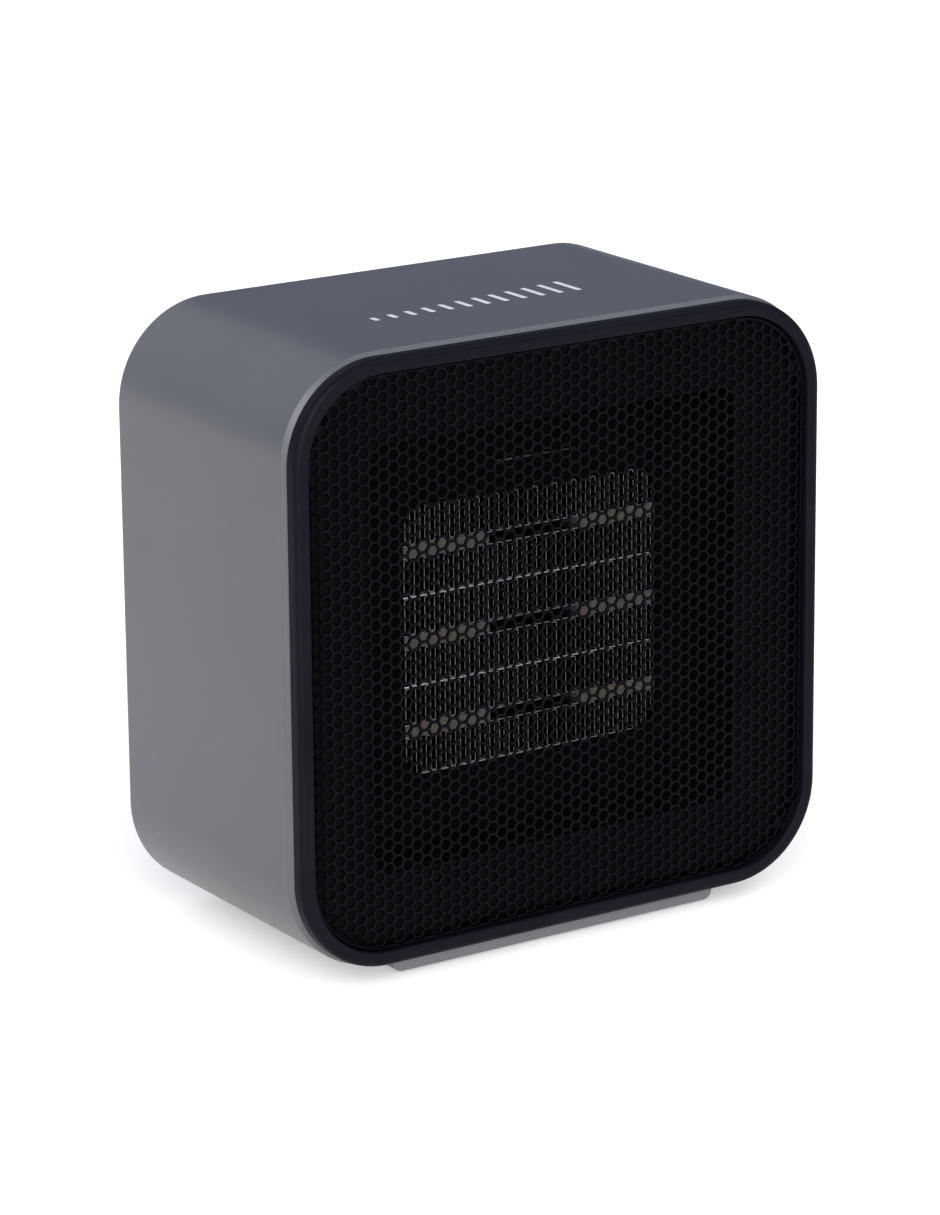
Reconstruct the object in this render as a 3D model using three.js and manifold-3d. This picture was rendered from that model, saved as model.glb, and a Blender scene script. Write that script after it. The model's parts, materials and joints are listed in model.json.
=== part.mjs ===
// A small ceramic fan heater on a low foot, as an assembly of its separate pieces.
// Millimetres, +Z up. The grille faces -Y, and the origin is under the middle of the foot.
import * as THREE from 'three';
import { mergeVertices } from 'three/addons/utils/BufferGeometryUtils.js';
import Module from 'manifold-3d';

const wasm = await Module();
wasm.setup();

// Casing
const caseWidth = 150;
const caseHeight = 148;
const caseCorner = 24.5;
const caseWall = 2.2;
const caseEdgeRound = 1.6;

// Front ring and grille
const bezelProud = 4;
const bezelInset = 0.8;
const bezelFace = 3.6;
const bezelSkirt = 6;
const bezelEdgeRound = 1.2;
const grilleRecess = 1.4;
const grilleSheet = 0.8;
const grilleEdgeGap = 0.4;
const grilleStandoff = 1.8;

// Moulded frame behind the grille, and the air duct through it
const frameBorderSide = 19;
const frameBorderEnd = 17.8;
const frameThickness = 2;
const recessDepth = 9.2;
const recessCorner = 5;
const ductWall = 1.6;
const ductBehindCore = 2.7;
const postRadius = 4;
const postFromCornerCentre = 10;
const postHoleRadius = 1.6;
const postHoleDepth = 14;

// Heating element
const plateThickness = 0.8;
const plateMargin = 15.3;
const plateCorner = 6.2;
const plateLip = 0.4;
const plateOpeningX = -1;
const coreDepth = 14;
const coreHiddenEnd = 1.5;
const barCount = 3;
const stoneLength = 24;
const stoneThickness = 2.4;
const stoneDepth = 12;
const stoneFromEnd = 1.2;
const electrodeThickness = 0.4;
const finHeight = 8.8;
const finPitch = 1.38;
const finFoil = 0.22;
const spacerThickness = 0.5;
const outerPlateThickness = 0.8;
const stackGap = 0.1;
const holderThickness = 6.5;
const holderLip = 2;
const holderLipReach = 4;
const tabWidth = 6.3;
const tabReach = 4;

// Overheat cut-out and fuse
const bracketWidth = 22.4;
const bracketThickness = 0.6;
const bracketProud = 0.6;
const bracketAboveCore = 7.4;
const cutoutWidth = 14;
const cutoutHeight = 4.4;
const cutoutDepth = 8.5;
const fuseRadius = 2;
const fuseLength = 11;
const fuseLeadRadius = 0.5;
const fuseLeadLength = 9;
const fuseBelowCore = 4;

// Fan
const shroudWall = 1.6;
const shroudFlange = 2;
const shroudMargin = 1;
const impellerInset = 3.7;
const impellerDepth = 13;
const impellerBehind = 1;
const bladeTipGap = 2.5;
const bladeCount = 7;
const bladeThickness = 1.2;
const bladePitchDegrees = 38;
const bladeRootHeight = 15;
const bladeRootShare = 0.4;
const bladeCornerAcross = 0.75;
const bladeCornerOut = 0.96;
const bladeLeadAcross = 0.9;
const bladeLeadOut = 0.75;
const bladeTrailAcross = 0.6;
const bladeTrailOut = 0.6;
const bladeTipOut = 1.03;
const hubRadius = 14;
const hubWall = 1.8;
const spiderThickness = 2.5;
const spiderArmCount = 3;
const spiderArmWidth = 6;
const spiderHubRadius = 13;
const spiderHoleRadius = 5;

// Motor
const shaftRadius = 1.6;
const pressGap = 0.1;
const runningGap = 0.08;
const rotorRadius = 12.6;
const rotorAirGap = 0.4;
const statorThickness = 11;
const statorHalfWidth = 28;
const statorTop = 20;
const statorCorner = 3;
const statorLimb = 8;
const windowHalfWidth = 17;
const windowHeight = 9;
const windowBelowAxis = 17;
const coilBuild = 5.5;
const bracketStrap = 1.5;
const bracketStrapWidth = 16;
const bracketStrapFoot = 6;
const bracketFromEdge = 1;
const bushRadius = 4;
const bushLength = 5;

// Rear cover
const coverThickness = 2.5;
const coverRecess = 2.5;
const coverRim = 5;
const coverRimWall = 2;
const motorToCover = 0.6;
const ventRows = 13;
const ventPitch = 6.6;
const ventSlot = 3;
const ventRadius = 46;
const ventRib = 5;
const ventEndFlat = 0.02;

// Screws
const screwHeadRadius = 2.9;
const screwHeadHeight = 1.7;
const screwShankRadius = 1.35;
const screwShankLength = 12;

// Power switch
const switchFlangeWidth = 15;
const switchFlangeHeight = 21;
const switchFlange = 1;
const switchFlangeCorner = 1.5;
const switchBodyWidth = 13;
const switchBodyHeight = 19;
const switchBodyDepth = 13;
const switchBodyCorner = 0.5;
const switchBodyFloor = 2;
const switchWindowHalfWidth = 5.3;
const switchWindowHalfHeight = 8.7;
const rockerSideGap = 0.3;
const rockerHalfHeight = 7.9;
const rockerBehindCover = 2;
const rockerDish = 0.9;
const rockerCrown = 1.5;
const rockerRoot = 3;
const switchToPost = 2;
const switchBelowPost = 8;

// Cord gland
const glandBore = 3.2;
const glandNeck = 5;
const glandFlange = 6.6;
const glandFlangeThickness = 1.6;

// Tip-over switch
const tipWidth = 16;
const tipDepth = 14;
const tipBoreRadius = 4.2;
const tipRoof = 2;
const tipHeight = 14.6;
const plungerRadius = 2.2;
const plungerHoleGap = 0.4;
const plungerTravel = 3.5;
const collarThickness = 1.5;
const collarRadius = 3.8;
const plungerAboveCollar = 5.6;
const springMeanRadius = 3.1;
const springWireRadius = 0.35;
const springTurns = 5;
const tipBehindMiddle = 14;

// Foot
const standHeight = 4.2;
const footHalfWidth = 46.5;
const footBehindCaseFront = 1;
const footShorterAtBack = 5;
const footCorner = 2.4;
const padProud = 0.8;
const padThickness = 1.4;
const padRadius = 6;
const padInset = 10;
const hookWidth = 10;
const hookStem = 2;
const hookBarb = 1;
const hookRise = 5;
const hookFromMiddle = 28;

// Clearances
const fitGap = 0.3;
const restGap = 0.1;
const cutPast = 1;

// How finely corners are drawn
const largeCorner = 10;
const largeCornerSteps = 7;
const smallCornerSteps = 3;
const slotCorner = 2;
const slotCornerSteps = 1;
const arcSteps = 3;
const edgeSteps = 2;
const wireSteps = 2;
const circleSteps = 36;
const smallCircleSteps = 16;
const screwSides = 12;
const springStepsPerTurn = 9;

// Sizes worked out from the ones above
const halfTurn = Math.PI;
const axisZ = standHeight + caseHeight / 2;
const innerWidth = caseWidth - 2 * caseWall;
const innerHeight = caseHeight - 2 * caseWall;
const innerCorner = caseCorner - caseWall;
const bezelWidth = caseWidth - 2 * bezelInset;
const bezelHeight = caseHeight - 2 * bezelInset;
const bezelCorner = caseCorner - bezelInset;
const openingWidth = bezelWidth - 2 * bezelFace;
const openingHeight = bezelHeight - 2 * bezelFace;
const openingCorner = bezelCorner - bezelFace;
const recessWidth = openingWidth - 2 * frameBorderSide;
const recessHeight = openingHeight - 2 * frameBorderEnd;
const ductWidth = recessWidth + 2 * ductWall;
const ductHeight = recessHeight + 2 * ductWall;

// Vertical build-up of the element: bars of ceramic between corrugated fins
const barThickness = stoneThickness + 2 * (electrodeThickness + stackGap);
const barPitch = barThickness + 2 * (finHeight + 2 * stackGap) + spacerThickness;
const coreHalfHeight = (barPitch * barCount) / 2 - spacerThickness / 2 + outerPlateThickness;
const elementOpeningWidth = recessWidth - 2 * plateMargin;
const elementOpeningHeight = 2 * (coreHalfHeight - plateLip);
const coreLength = elementOpeningWidth + 2 * coreHiddenEnd;

// Distances back from the front face of the ring
const grilleBack = grilleRecess + grilleSheet;
const frameStart = grilleBack + grilleStandoff;
const plateStart = frameStart + recessDepth;
const coreStart = plateStart + plateThickness + fitGap;
const coreEnd = coreStart + coreDepth;
const ductEnd = coreEnd + ductBehindCore;
const shroudStart = ductEnd + fitGap;
const impellerStart = shroudStart + impellerInset;
const impellerEnd = impellerStart + impellerDepth;
const spiderStart = impellerEnd + impellerBehind;
const spiderEnd = spiderStart + spiderThickness;
const coilStart = spiderEnd + fitGap;
const statorStart = coilStart + coilBuild + fitGap;
const statorEnd = statorStart + statorThickness;
const coilEnd = statorEnd + coilBuild + fitGap;
const coverStart = coilEnd + motorToCover;
const coverEnd = coverStart + coverThickness;
const depth = coverEnd + coverRecess;
const frontY = -depth / 2;
const backY = depth / 2;
const back = (distance) => frontY + distance;

const shroudRadius = Math.min(recessWidth, recessHeight) / 2 - shroudMargin;
const impellerRadius = shroudRadius - bladeTipGap;
const postX = caseWidth / 2 - caseCorner + postFromCornerCentre;
const postZ = caseHeight / 2 - caseCorner + postFromCornerCentre;
const switchX = postX - postRadius - switchToPost - switchFlangeWidth / 2;
const switchZ = axisZ + postZ - switchBelowPost;
const glandX = -switchX;
const glandZ = axisZ - postZ + switchBelowPost;
const footFrontY = back(bezelProud) + footBehindCaseFront;
const footBackY = backY - footShorterAtBack;
const caseFloor = standHeight + caseWall;
const tipY = tipBehindMiddle;
const plungerHoleRadius = plungerRadius + plungerHoleGap;

// Finishes
const finish = (color, roughness, metalness) => ({ color, roughness, metalness });
const greyPaint = finish(0x74767d, 0.5, 0.25);
const blackGloss = finish(0x14161c, 0.35, 0);
const blackSteel = finish(0x15171d, 0.5, 0.3);
const blackMatte = finish(0x101114, 0.7, 0);
const ceramic = finish(0xb3a17e, 0.75, 0);
const aluminium = finish(0xa9abad, 0.4, 0.9);
const heatPlastic = finish(0xd6cfbf, 0.6, 0);
const zincSteel = finish(0x9a9ca0, 0.4, 0.85);
const darkSteel = finish(0x5b5d62, 0.5, 0.8);
const copper = finish(0xb06a3a, 0.4, 0.8);
const bronze = finish(0x9c7b45, 0.5, 0.8);
const fanPlastic = finish(0x2a2c30, 0.5, 0);
const rubber = finish(0x17181a, 0.85, 0);

const heater = new THREE.Group();

function addPiece(name, geometry, look) {
  const mesh = new THREE.Mesh(geometry, new THREE.MeshStandardMaterial(look));
  mesh.name = name;
  heater.add(mesh);
}

// Joining and cutting

function toSolid(geometry) {
  const bare = geometry.clone();
  bare.deleteAttribute('normal');
  bare.deleteAttribute('uv');
  const merged = mergeVertices(bare);
  const vertProperties = new Float32Array(merged.attributes.position.array);
  const triVerts = new Uint32Array(realTriangles(merged.index.array));
  return new wasm.Manifold(new wasm.Mesh({ numProp: 3, vertProperties, triVerts }));
}

// Leaves out the triangles that have no area, which lie on a turned piece's axis
// and where an outline's straight runs meet its arcs.
function realTriangles(index) {
  const kept = [];
  for (let at = 0; at < index.length; at += 3) {
    const [a, b, c] = index.slice(at, at + 3);
    if (a !== b && b !== c && c !== a) {
      kept.push(a, b, c);
    }
  }
  return kept;
}

function toGeometry(solid) {
  const mesh = solid.getMesh();
  const geometry = new THREE.BufferGeometry();
  geometry.setAttribute('position', new THREE.BufferAttribute(mesh.vertProperties, 3));
  geometry.setIndex(new THREE.BufferAttribute(mesh.triVerts, 1));
  return geometry;
}

function join(...geometries) {
  return toGeometry(geometries.map(toSolid).reduce((all, next) => all.add(next)));
}

function cut(geometry, ...tools) {
  return toGeometry(tools.map(toSolid).reduce((rest, tool) => rest.subtract(tool), toSolid(geometry)));
}

// Outlines in the X-Z plane

function cornerSteps(corner) {
  if (corner > largeCorner) {
    return largeCornerSteps;
  }
  return corner > slotCorner ? smallCornerSteps : slotCornerSteps;
}

function roundedOutline(width, height, corner, x, z) {
  const steps = cornerSteps(corner);
  const points = [];
  for (let quarter = 0; quarter < 4; quarter += 1) {
    const toRight = quarter === 0 || quarter === 3 ? 1 : -1;
    const toTop = quarter < 2 ? 1 : -1;
    const centreX = x + toRight * (width / 2 - corner);
    const centreZ = z + toTop * (height / 2 - corner);
    for (let step = 0; step <= steps; step += 1) {
      const angle = ((quarter + step / steps) * halfTurn) / 2;
      points.push(new THREE.Vector2(centreX + corner * Math.cos(angle), centreZ + corner * Math.sin(angle)));
    }
  }
  return points;
}

function roundedRect(width, height, corner, x = 0, z = axisZ) {
  return new THREE.Shape(roundedOutline(width, height, corner, x, z));
}

function roundedHole(width, height, corner, x = 0, z = axisZ) {
  return new THREE.Path(roundedOutline(width, height, corner, x, z));
}

function circleHole(radius, x = 0, z = axisZ) {
  const points = [];
  for (let step = 0; step < circleSteps; step += 1) {
    const angle = (step * 2 * halfTurn) / circleSteps;
    points.push(new THREE.Vector2(x + radius * Math.cos(angle), z + radius * Math.sin(angle)));
  }
  return new THREE.Path(points);
}

function withHoles(shape, ...holes) {
  shape.holes.push(...holes);
  return shape;
}

// Solids

function extrudeAlongY(shape, fromY, toY, edgeRound = 0) {
  const straight = toY - fromY - 2 * edgeRound;
  const settings = { depth: straight, curveSegments: arcSteps, bevelEnabled: edgeRound > 0 };
  if (edgeRound > 0) {
    settings.bevelThickness = edgeRound;
    settings.bevelSize = edgeRound;
    settings.bevelOffset = -edgeRound;
    settings.bevelSegments = edgeSteps;
  }
  const geometry = new THREE.ExtrudeGeometry(shape, settings);
  geometry.rotateX(halfTurn / 2);
  geometry.translate(0, toY - edgeRound, 0);
  return toGeometry(toSolid(geometry));
}

function block(fromX, toX, fromY, toY, fromZ, toZ) {
  const geometry = new THREE.BoxGeometry(toX - fromX, toY - fromY, toZ - fromZ);
  geometry.translate((fromX + toX) / 2, (fromY + toY) / 2, (fromZ + toZ) / 2);
  return geometry;
}

// A profile is a list of [radius, distance along the axis], going forwards up the outside.
function turn(profile, sides) {
  const points = profile.map(([radius, along]) => new THREE.Vector2(radius, along));
  return toGeometry(toSolid(new THREE.LatheGeometry(points, sides)));
}

function turnAlongY(profile, sides, x = 0, z = axisZ) {
  const geometry = turn(profile, sides);
  geometry.translate(x, 0, z);
  return geometry;
}

function turnAlongZ(profile, sides, x, y) {
  const geometry = turn(profile, sides);
  geometry.rotateX(halfTurn / 2);
  geometry.translate(x, y, 0);
  return geometry;
}

function rod(radius, from, to) {
  return [[0, from], [radius, from], [radius, to], [0, to]];
}

function tube(bore, radius, from, to) {
  return [[bore, from], [radius, from], [radius, to], [bore, to], [bore, from]];
}

function atFourCorners(halfX, halfZ) {
  return [[halfX, halfZ], [-halfX, halfZ], [-halfX, -halfZ], [halfX, -halfZ]];
}

// Casing: an open sleeve, with slots for the foot's hooks and a hole for the plunger
function casingSleeve() {
  const outside = roundedRect(caseWidth, caseHeight, caseCorner);
  const inside = roundedRect(innerWidth, innerHeight, innerCorner);
  const sleeve = extrudeAlongY(outside, back(bezelProud), backY, caseEdgeRound);
  const hollow = extrudeAlongY(inside, back(bezelProud) - cutPast, backY + cutPast);
  const below = standHeight - cutPast;
  const above = caseFloor + cutPast;
  const slotX = hookWidth / 2 + fitGap;
  const slotY = hookStem / 2 + fitGap;
  const slots = [-1, 1].map((side) => {
    const y = side * hookFromMiddle;
    return block(-slotX, slotX, y - slotY, y + slotY + hookBarb, below, above);
  });
  const plungerHole = turnAlongZ(rod(plungerHoleRadius, below, above), smallCircleSteps, 0, tipY);
  return cut(sleeve, hollow, ...slots, plungerHole);
}

// Front ring, with a skirt that plugs into the casing
function frontBezel() {
  const face = withHoles(
    roundedRect(bezelWidth, bezelHeight, bezelCorner),
    roundedHole(openingWidth, openingHeight, openingCorner)
  );
  const skirtWidth = innerWidth - 2 * fitGap;
  const skirtHeight = innerHeight - 2 * fitGap;
  const skirt = withHoles(
    roundedRect(skirtWidth, skirtHeight, innerCorner - fitGap),
    roundedHole(openingWidth, openingHeight, openingCorner)
  );
  return join(
    extrudeAlongY(face, frontY, back(bezelProud) - restGap, bezelEdgeRound),
    extrudeAlongY(skirt, back(bezelEdgeRound), back(bezelProud + bezelSkirt))
  );
}

// Grille sheet with a short turned-back rim
function frontGrille() {
  const width = openingWidth - 2 * grilleEdgeGap;
  const height = openingHeight - 2 * grilleEdgeGap;
  const corner = openingCorner - grilleEdgeGap;
  const inside = 2 * grilleSheet;
  const rim = withHoles(
    roundedRect(width, height, corner),
    roundedHole(width - inside, height - inside, corner - grilleSheet)
  );
  return join(
    extrudeAlongY(roundedRect(width, height, corner), back(grilleRecess), back(grilleBack)),
    extrudeAlongY(rim, back(grilleRecess), back(frameStart - fitGap))
  );
}

// Frame behind the grille: flat border, air duct and four long screw posts
function frontFrame() {
  const border = withHoles(
    roundedRect(openingWidth - 2 * fitGap, openingHeight - 2 * fitGap, openingCorner - fitGap),
    roundedHole(recessWidth, recessHeight, recessCorner)
  );
  const duct = withHoles(
    roundedRect(ductWidth, ductHeight, recessCorner + ductWall),
    roundedHole(recessWidth, recessHeight, recessCorner)
  );
  const postStart = back(frameStart);
  const postEnd = back(coverStart - fitGap);
  const posts = atFourCorners(postX, postZ).map(([x, z]) =>
    turnAlongY(rod(postRadius, postStart, postEnd), smallCircleSteps, x, axisZ + z)
  );
  const hole = rod(postHoleRadius, postEnd - postHoleDepth, postEnd + cutPast);
  const holes = atFourCorners(postX, postZ).map(([x, z]) =>
    turnAlongY(hole, smallCircleSteps, x, axisZ + z)
  );
  const whole = join(
    extrudeAlongY(border, back(frameStart), back(frameStart + frameThickness)),
    extrudeAlongY(duct, back(frameStart), back(ductEnd)),
    ...posts
  );
  return cut(whole, ...holes);
}

// Plate with the opening that the element shows through, slotted for the cut-out's bracket
function elementPlate() {
  const bracketZ = axisZ + coreHalfHeight + bracketAboveCore;
  const sheet = withHoles(
    roundedRect(recessWidth - 2 * fitGap, recessHeight - 2 * fitGap, recessCorner - fitGap),
    roundedHole(elementOpeningWidth, elementOpeningHeight, plateCorner, plateOpeningX)
  );
  const slotHalfWidth = bracketWidth / 2 + fitGap;
  const slotHalfHeight = bracketThickness / 2 + fitGap;
  const plateBack = plateStart + plateThickness;
  return cut(
    extrudeAlongY(sheet, back(plateStart), back(plateBack)),
    block(
      -slotHalfWidth, slotHalfWidth,
      back(plateStart) - cutPast, back(plateBack) + cutPast,
      bracketZ - slotHalfHeight, bracketZ + slotHalfHeight
    )
  );
}

// A ribbon of foil folded into straight legs, joined in turn at the top and at the bottom
function finStrip(z) {
  const legs = Math.floor((coreLength - finFoil) / finPitch) + 1;
  const firstX = (-(legs - 1) * finPitch) / 2;
  const half = finFoil / 2;
  const top = finHeight / 2;
  const upperSide = [];
  const lowerSide = [];
  for (let leg = 0; leg < legs; leg += 1) {
    const x = firstX + leg * finPitch;
    const goesUp = leg % 2 === 0;
    const outward = goesUp ? -half : half;
    const upper = [[x + outward, z - top + finFoil], [x + outward, z + top]];
    const lower = [[x - outward, z - top], [x - outward, z + top - finFoil]];
    upperSide.push(...(goesUp ? upper : upper.reverse()));
    lowerSide.push(...(goesUp ? lower : lower.reverse()));
  }
  upperSide[0][1] = z - top;
  lowerSide[lowerSide.length - 1][1] = legs % 2 === 0 ? z - top : z + top;
  const outline = [...lowerSide, ...upperSide.reverse()].map(([x, y]) => new THREE.Vector2(x, y));
  return extrudeAlongY(new THREE.Shape(outline), back(coreStart), back(coreEnd));
}

function stone(side, z) {
  const middle = side * (coreLength / 2 - stoneFromEnd - stoneLength / 2);
  const frontGap = (coreDepth - stoneDepth) / 2;
  return block(
    middle - stoneLength / 2, middle + stoneLength / 2,
    back(coreStart + frontGap), back(coreEnd - frontGap),
    z - stoneThickness / 2, z + stoneThickness / 2
  );
}

// Contact strip along a bar, with a narrower tab that leaves through the holder on one side
function electrode(side, z) {
  const half = electrodeThickness / 2;
  const tabEnd = coreLength / 2 + fitGap + holderThickness + tabReach;
  const tabY = (back(coreStart) + back(coreEnd)) / 2;
  const from = Math.min(0, side * tabEnd);
  const to = Math.max(0, side * tabEnd);
  return join(
    block(-coreLength / 2, coreLength / 2, back(coreStart), back(coreEnd), z - half, z + half),
    block(from, to, tabY - tabWidth / 2, tabY + tabWidth / 2, z - half, z + half)
  );
}

function corePlate(thickness, z) {
  return block(
    -coreLength / 2, coreLength / 2,
    back(coreStart), back(coreEnd),
    z - thickness / 2, z + thickness / 2
  );
}

function barZ(bar) {
  return axisZ + (bar - (barCount + 1) / 2) * barPitch;
}

function electrodeZ(bar, side) {
  return barZ(bar) + side * (stoneThickness / 2 + stackGap + electrodeThickness / 2);
}

// End holder: a web with slots for the tabs, and lips over the outer plates
function elementHolder(side) {
  const inner = coreLength / 2 + fitGap;
  const outer = inner + holderThickness;
  const lipInner = coreLength / 2 - holderLipReach;
  const lipZ = coreHalfHeight + fitGap;
  const span = (a, b) => (side > 0 ? [a, b] : [-b, -a]);
  const lips = [-1, 1].map((end) => {
    const edge = end * lipZ;
    const far = end * (lipZ + holderLip);
    return block(
      ...span(lipInner, outer),
      back(coreStart), back(coreEnd),
      axisZ + Math.min(edge, far), axisZ + Math.max(edge, far)
    );
  });
  const web = block(...span(inner, outer), back(coreStart), back(coreEnd), axisZ - lipZ, axisZ + lipZ);
  const slotHalf = electrodeThickness / 2 + fitGap;
  const tabY = (back(coreStart) + back(coreEnd)) / 2;
  const slotY = tabWidth / 2 + fitGap;
  const slots = [];
  for (let bar = 1; bar <= barCount; bar += 1) {
    const z = electrodeZ(bar, -side);
    slots.push(
      block(...span(inner - cutPast, outer + cutPast), tabY - slotY, tabY + slotY, z - slotHalf, z + slotHalf)
    );
  }
  return cut(join(web, ...lips), ...slots);
}

function addElement() {
  let fin = 1;
  for (let bar = 1; bar <= barCount; bar += 1) {
    const finOffset = barThickness / 2 + stackGap + finHeight / 2;
    [-1, 1].forEach((side) => {
      const sideName = side < 0 ? 'left' : 'right';
      const levelName = side < 0 ? 'lower' : 'upper';
      addPiece(`ceramic_stone_${bar}_${sideName}`, stone(side, barZ(bar)), ceramic);
      addPiece(`electrode_${bar}_${levelName}`, electrode(-side, electrodeZ(bar, side)), aluminium);
      addPiece(`fin_strip_${fin}`, finStrip(barZ(bar) + side * finOffset), aluminium);
      fin += 1;
    });
  }
  for (let gap = 1; gap < barCount; gap += 1) {
    addPiece(`spacer_plate_${gap}`, corePlate(spacerThickness, barZ(gap) + barPitch / 2), aluminium);
  }
  const outerZ = coreHalfHeight - outerPlateThickness / 2;
  addPiece('outer_plate_bottom', corePlate(outerPlateThickness, axisZ - outerZ), aluminium);
  addPiece('outer_plate_top', corePlate(outerPlateThickness, axisZ + outerZ), aluminium);
  addPiece('element_holder_left', elementHolder(-1), heatPlastic);
  addPiece('element_holder_right', elementHolder(1), heatPlastic);
}

// Overheat cut-out, on a strap that hooks through the element plate
function addCutout() {
  const bracketZ = axisZ + coreHalfHeight + bracketAboveCore;
  const half = bracketThickness / 2;
  const strapFront = back(plateStart - bracketProud);
  const strapBack = back(coreStart) + cutoutDepth + 2 * fitGap;
  addPiece(
    'cutout_bracket',
    block(-bracketWidth / 2, bracketWidth / 2, strapFront, strapBack, bracketZ - half, bracketZ + half),
    zincSteel
  );
  const base = bracketZ + half + fitGap;
  const bodyFront = back(coreStart) + fitGap;
  const body = roundedRect(cutoutWidth, cutoutHeight, cutoutHeight / 4, 0, base + cutoutHeight / 2);
  addPiece('thermal_cutout', extrudeAlongY(body, bodyFront, bodyFront + cutoutDepth), zincSteel);

  const lead = fuseLength / 2 + fuseLeadLength;
  const shoulder = fuseLength / 2;
  const profile = [
    [0, -lead], [fuseLeadRadius, -lead], [fuseLeadRadius, -shoulder], [fuseRadius, -shoulder],
    [fuseRadius, shoulder], [fuseLeadRadius, shoulder], [fuseLeadRadius, lead], [0, lead],
  ];
  const fuse = turn(profile, screwSides);
  fuse.rotateZ(-halfTurn / 2);
  const fuseZ = axisZ - coreHalfHeight - holderLip - fuseBelowCore;
  fuse.translate(0, (back(coreStart) + back(coreEnd)) / 2, fuseZ);
  addPiece('thermal_fuse', fuse, zincSteel);
}

// Fan shroud: a flange on the duct, a ring round the blades and a spider for the motor
function fanShroud() {
  const flange = withHoles(
    roundedRect(ductWidth, ductHeight, recessCorner + ductWall),
    circleHole(shroudRadius)
  );
  const ringStart = back(shroudStart);
  const ringEnd = back(spiderEnd);
  const ring = turnAlongY(tube(shroudRadius, shroudRadius + shroudWall, ringStart, ringEnd), circleSteps);
  const hub = turnAlongY(rod(spiderHubRadius, back(spiderStart), ringEnd), smallCircleSteps);
  const arms = [];
  for (let arm = 0; arm < spiderArmCount; arm += 1) {
    const spoke = block(
      -spiderArmWidth / 2, spiderArmWidth / 2,
      back(spiderStart), ringEnd,
      0, shroudRadius + shroudWall / 2
    );
    spoke.rotateY((arm * 2 * halfTurn) / spiderArmCount);
    spoke.translate(0, 0, axisZ);
    arms.push(spoke);
  }
  const bore = rod(spiderHoleRadius, back(spiderStart) - cutPast, ringEnd + cutPast);
  const flangeSolid = extrudeAlongY(flange, ringStart, ringStart + shroudFlange);
  return cut(join(flangeSolid, ring, hub, ...arms), turnAlongY(bore, smallCircleSteps));
}

// Impeller: a cup-shaped hub with pitched blades
function impeller() {
  const front = back(impellerStart);
  const rear = back(impellerEnd);
  const cup = [
    [shaftRadius + pressGap, front], [hubRadius, front], [hubRadius, rear],
    [hubRadius - hubWall, rear], [hubRadius - hubWall, front + hubWall],
    [bushRadius, front + hubWall], [bushRadius, rear - hubWall],
    [shaftRadius + pressGap, rear - hubWall], [shaftRadius + pressGap, front],
  ];
  const root = hubRadius - hubWall / 2;
  const rootHalf = bladeRootHeight * bladeRootShare;
  const cornerX = impellerDepth * bladeCornerAcross;
  const cornerZ = impellerRadius * bladeCornerOut;
  const leadX = impellerDepth * bladeLeadAcross;
  const trailX = -impellerDepth * bladeTrailAcross;
  const blades = [];
  for (let blade = 0; blade < bladeCount; blade += 1) {
    const outline = new THREE.Shape();
    outline.moveTo(-rootHalf, root);
    outline.lineTo(rootHalf, root);
    outline.quadraticCurveTo(leadX, impellerRadius * bladeLeadOut, cornerX, cornerZ);
    outline.quadraticCurveTo(0, impellerRadius * bladeTipOut, -cornerX, cornerZ);
    outline.quadraticCurveTo(trailX, impellerRadius * bladeTrailOut, -rootHalf, root);
    const vane = extrudeAlongY(outline, -bladeThickness / 2, bladeThickness / 2);
    vane.rotateZ((bladePitchDegrees * halfTurn) / 180);
    vane.rotateY((blade * 2 * halfTurn) / bladeCount);
    vane.translate(0, (front + rear) / 2, axisZ);
    blades.push(vane);
  }
  return join(turnAlongY(cup, smallCircleSteps), ...blades);
}

function motorStator() {
  const top = axisZ + statorTop;
  const windowTop = axisZ - windowBelowAxis;
  const windowBottom = windowTop - windowHeight;
  const bottom = windowBottom - statorLimb;
  const middle = (top + bottom) / 2;
  const lamination = withHoles(
    roundedRect(2 * statorHalfWidth, top - bottom, statorCorner, 0, middle),
    circleHole(rotorRadius + rotorAirGap),
    roundedHole(2 * windowHalfWidth, windowHeight, fitGap, 0, (windowTop + windowBottom) / 2)
  );
  return extrudeAlongY(lamination, back(statorStart), back(statorEnd));
}

// Winding round the lower limb, held by two turned-over cheeks
function motorCoil() {
  const windowTop = axisZ - windowBelowAxis;
  const windowBottom = windowTop - windowHeight;
  const limbBottom = windowBottom - statorLimb;
  const wound = windowHeight - 2 * fitGap;
  const halfWidth = windowHalfWidth - fitGap;
  const outer = block(
    -halfWidth, halfWidth,
    back(coilStart), back(coilEnd),
    limbBottom - fitGap - wound, windowTop - fitGap
  );
  const passage = block(
    -halfWidth - cutPast, halfWidth + cutPast,
    back(statorStart) - fitGap, back(statorEnd) + fitGap,
    limbBottom - fitGap, windowBottom + fitGap
  );
  return cut(outer, passage);
}

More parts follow.
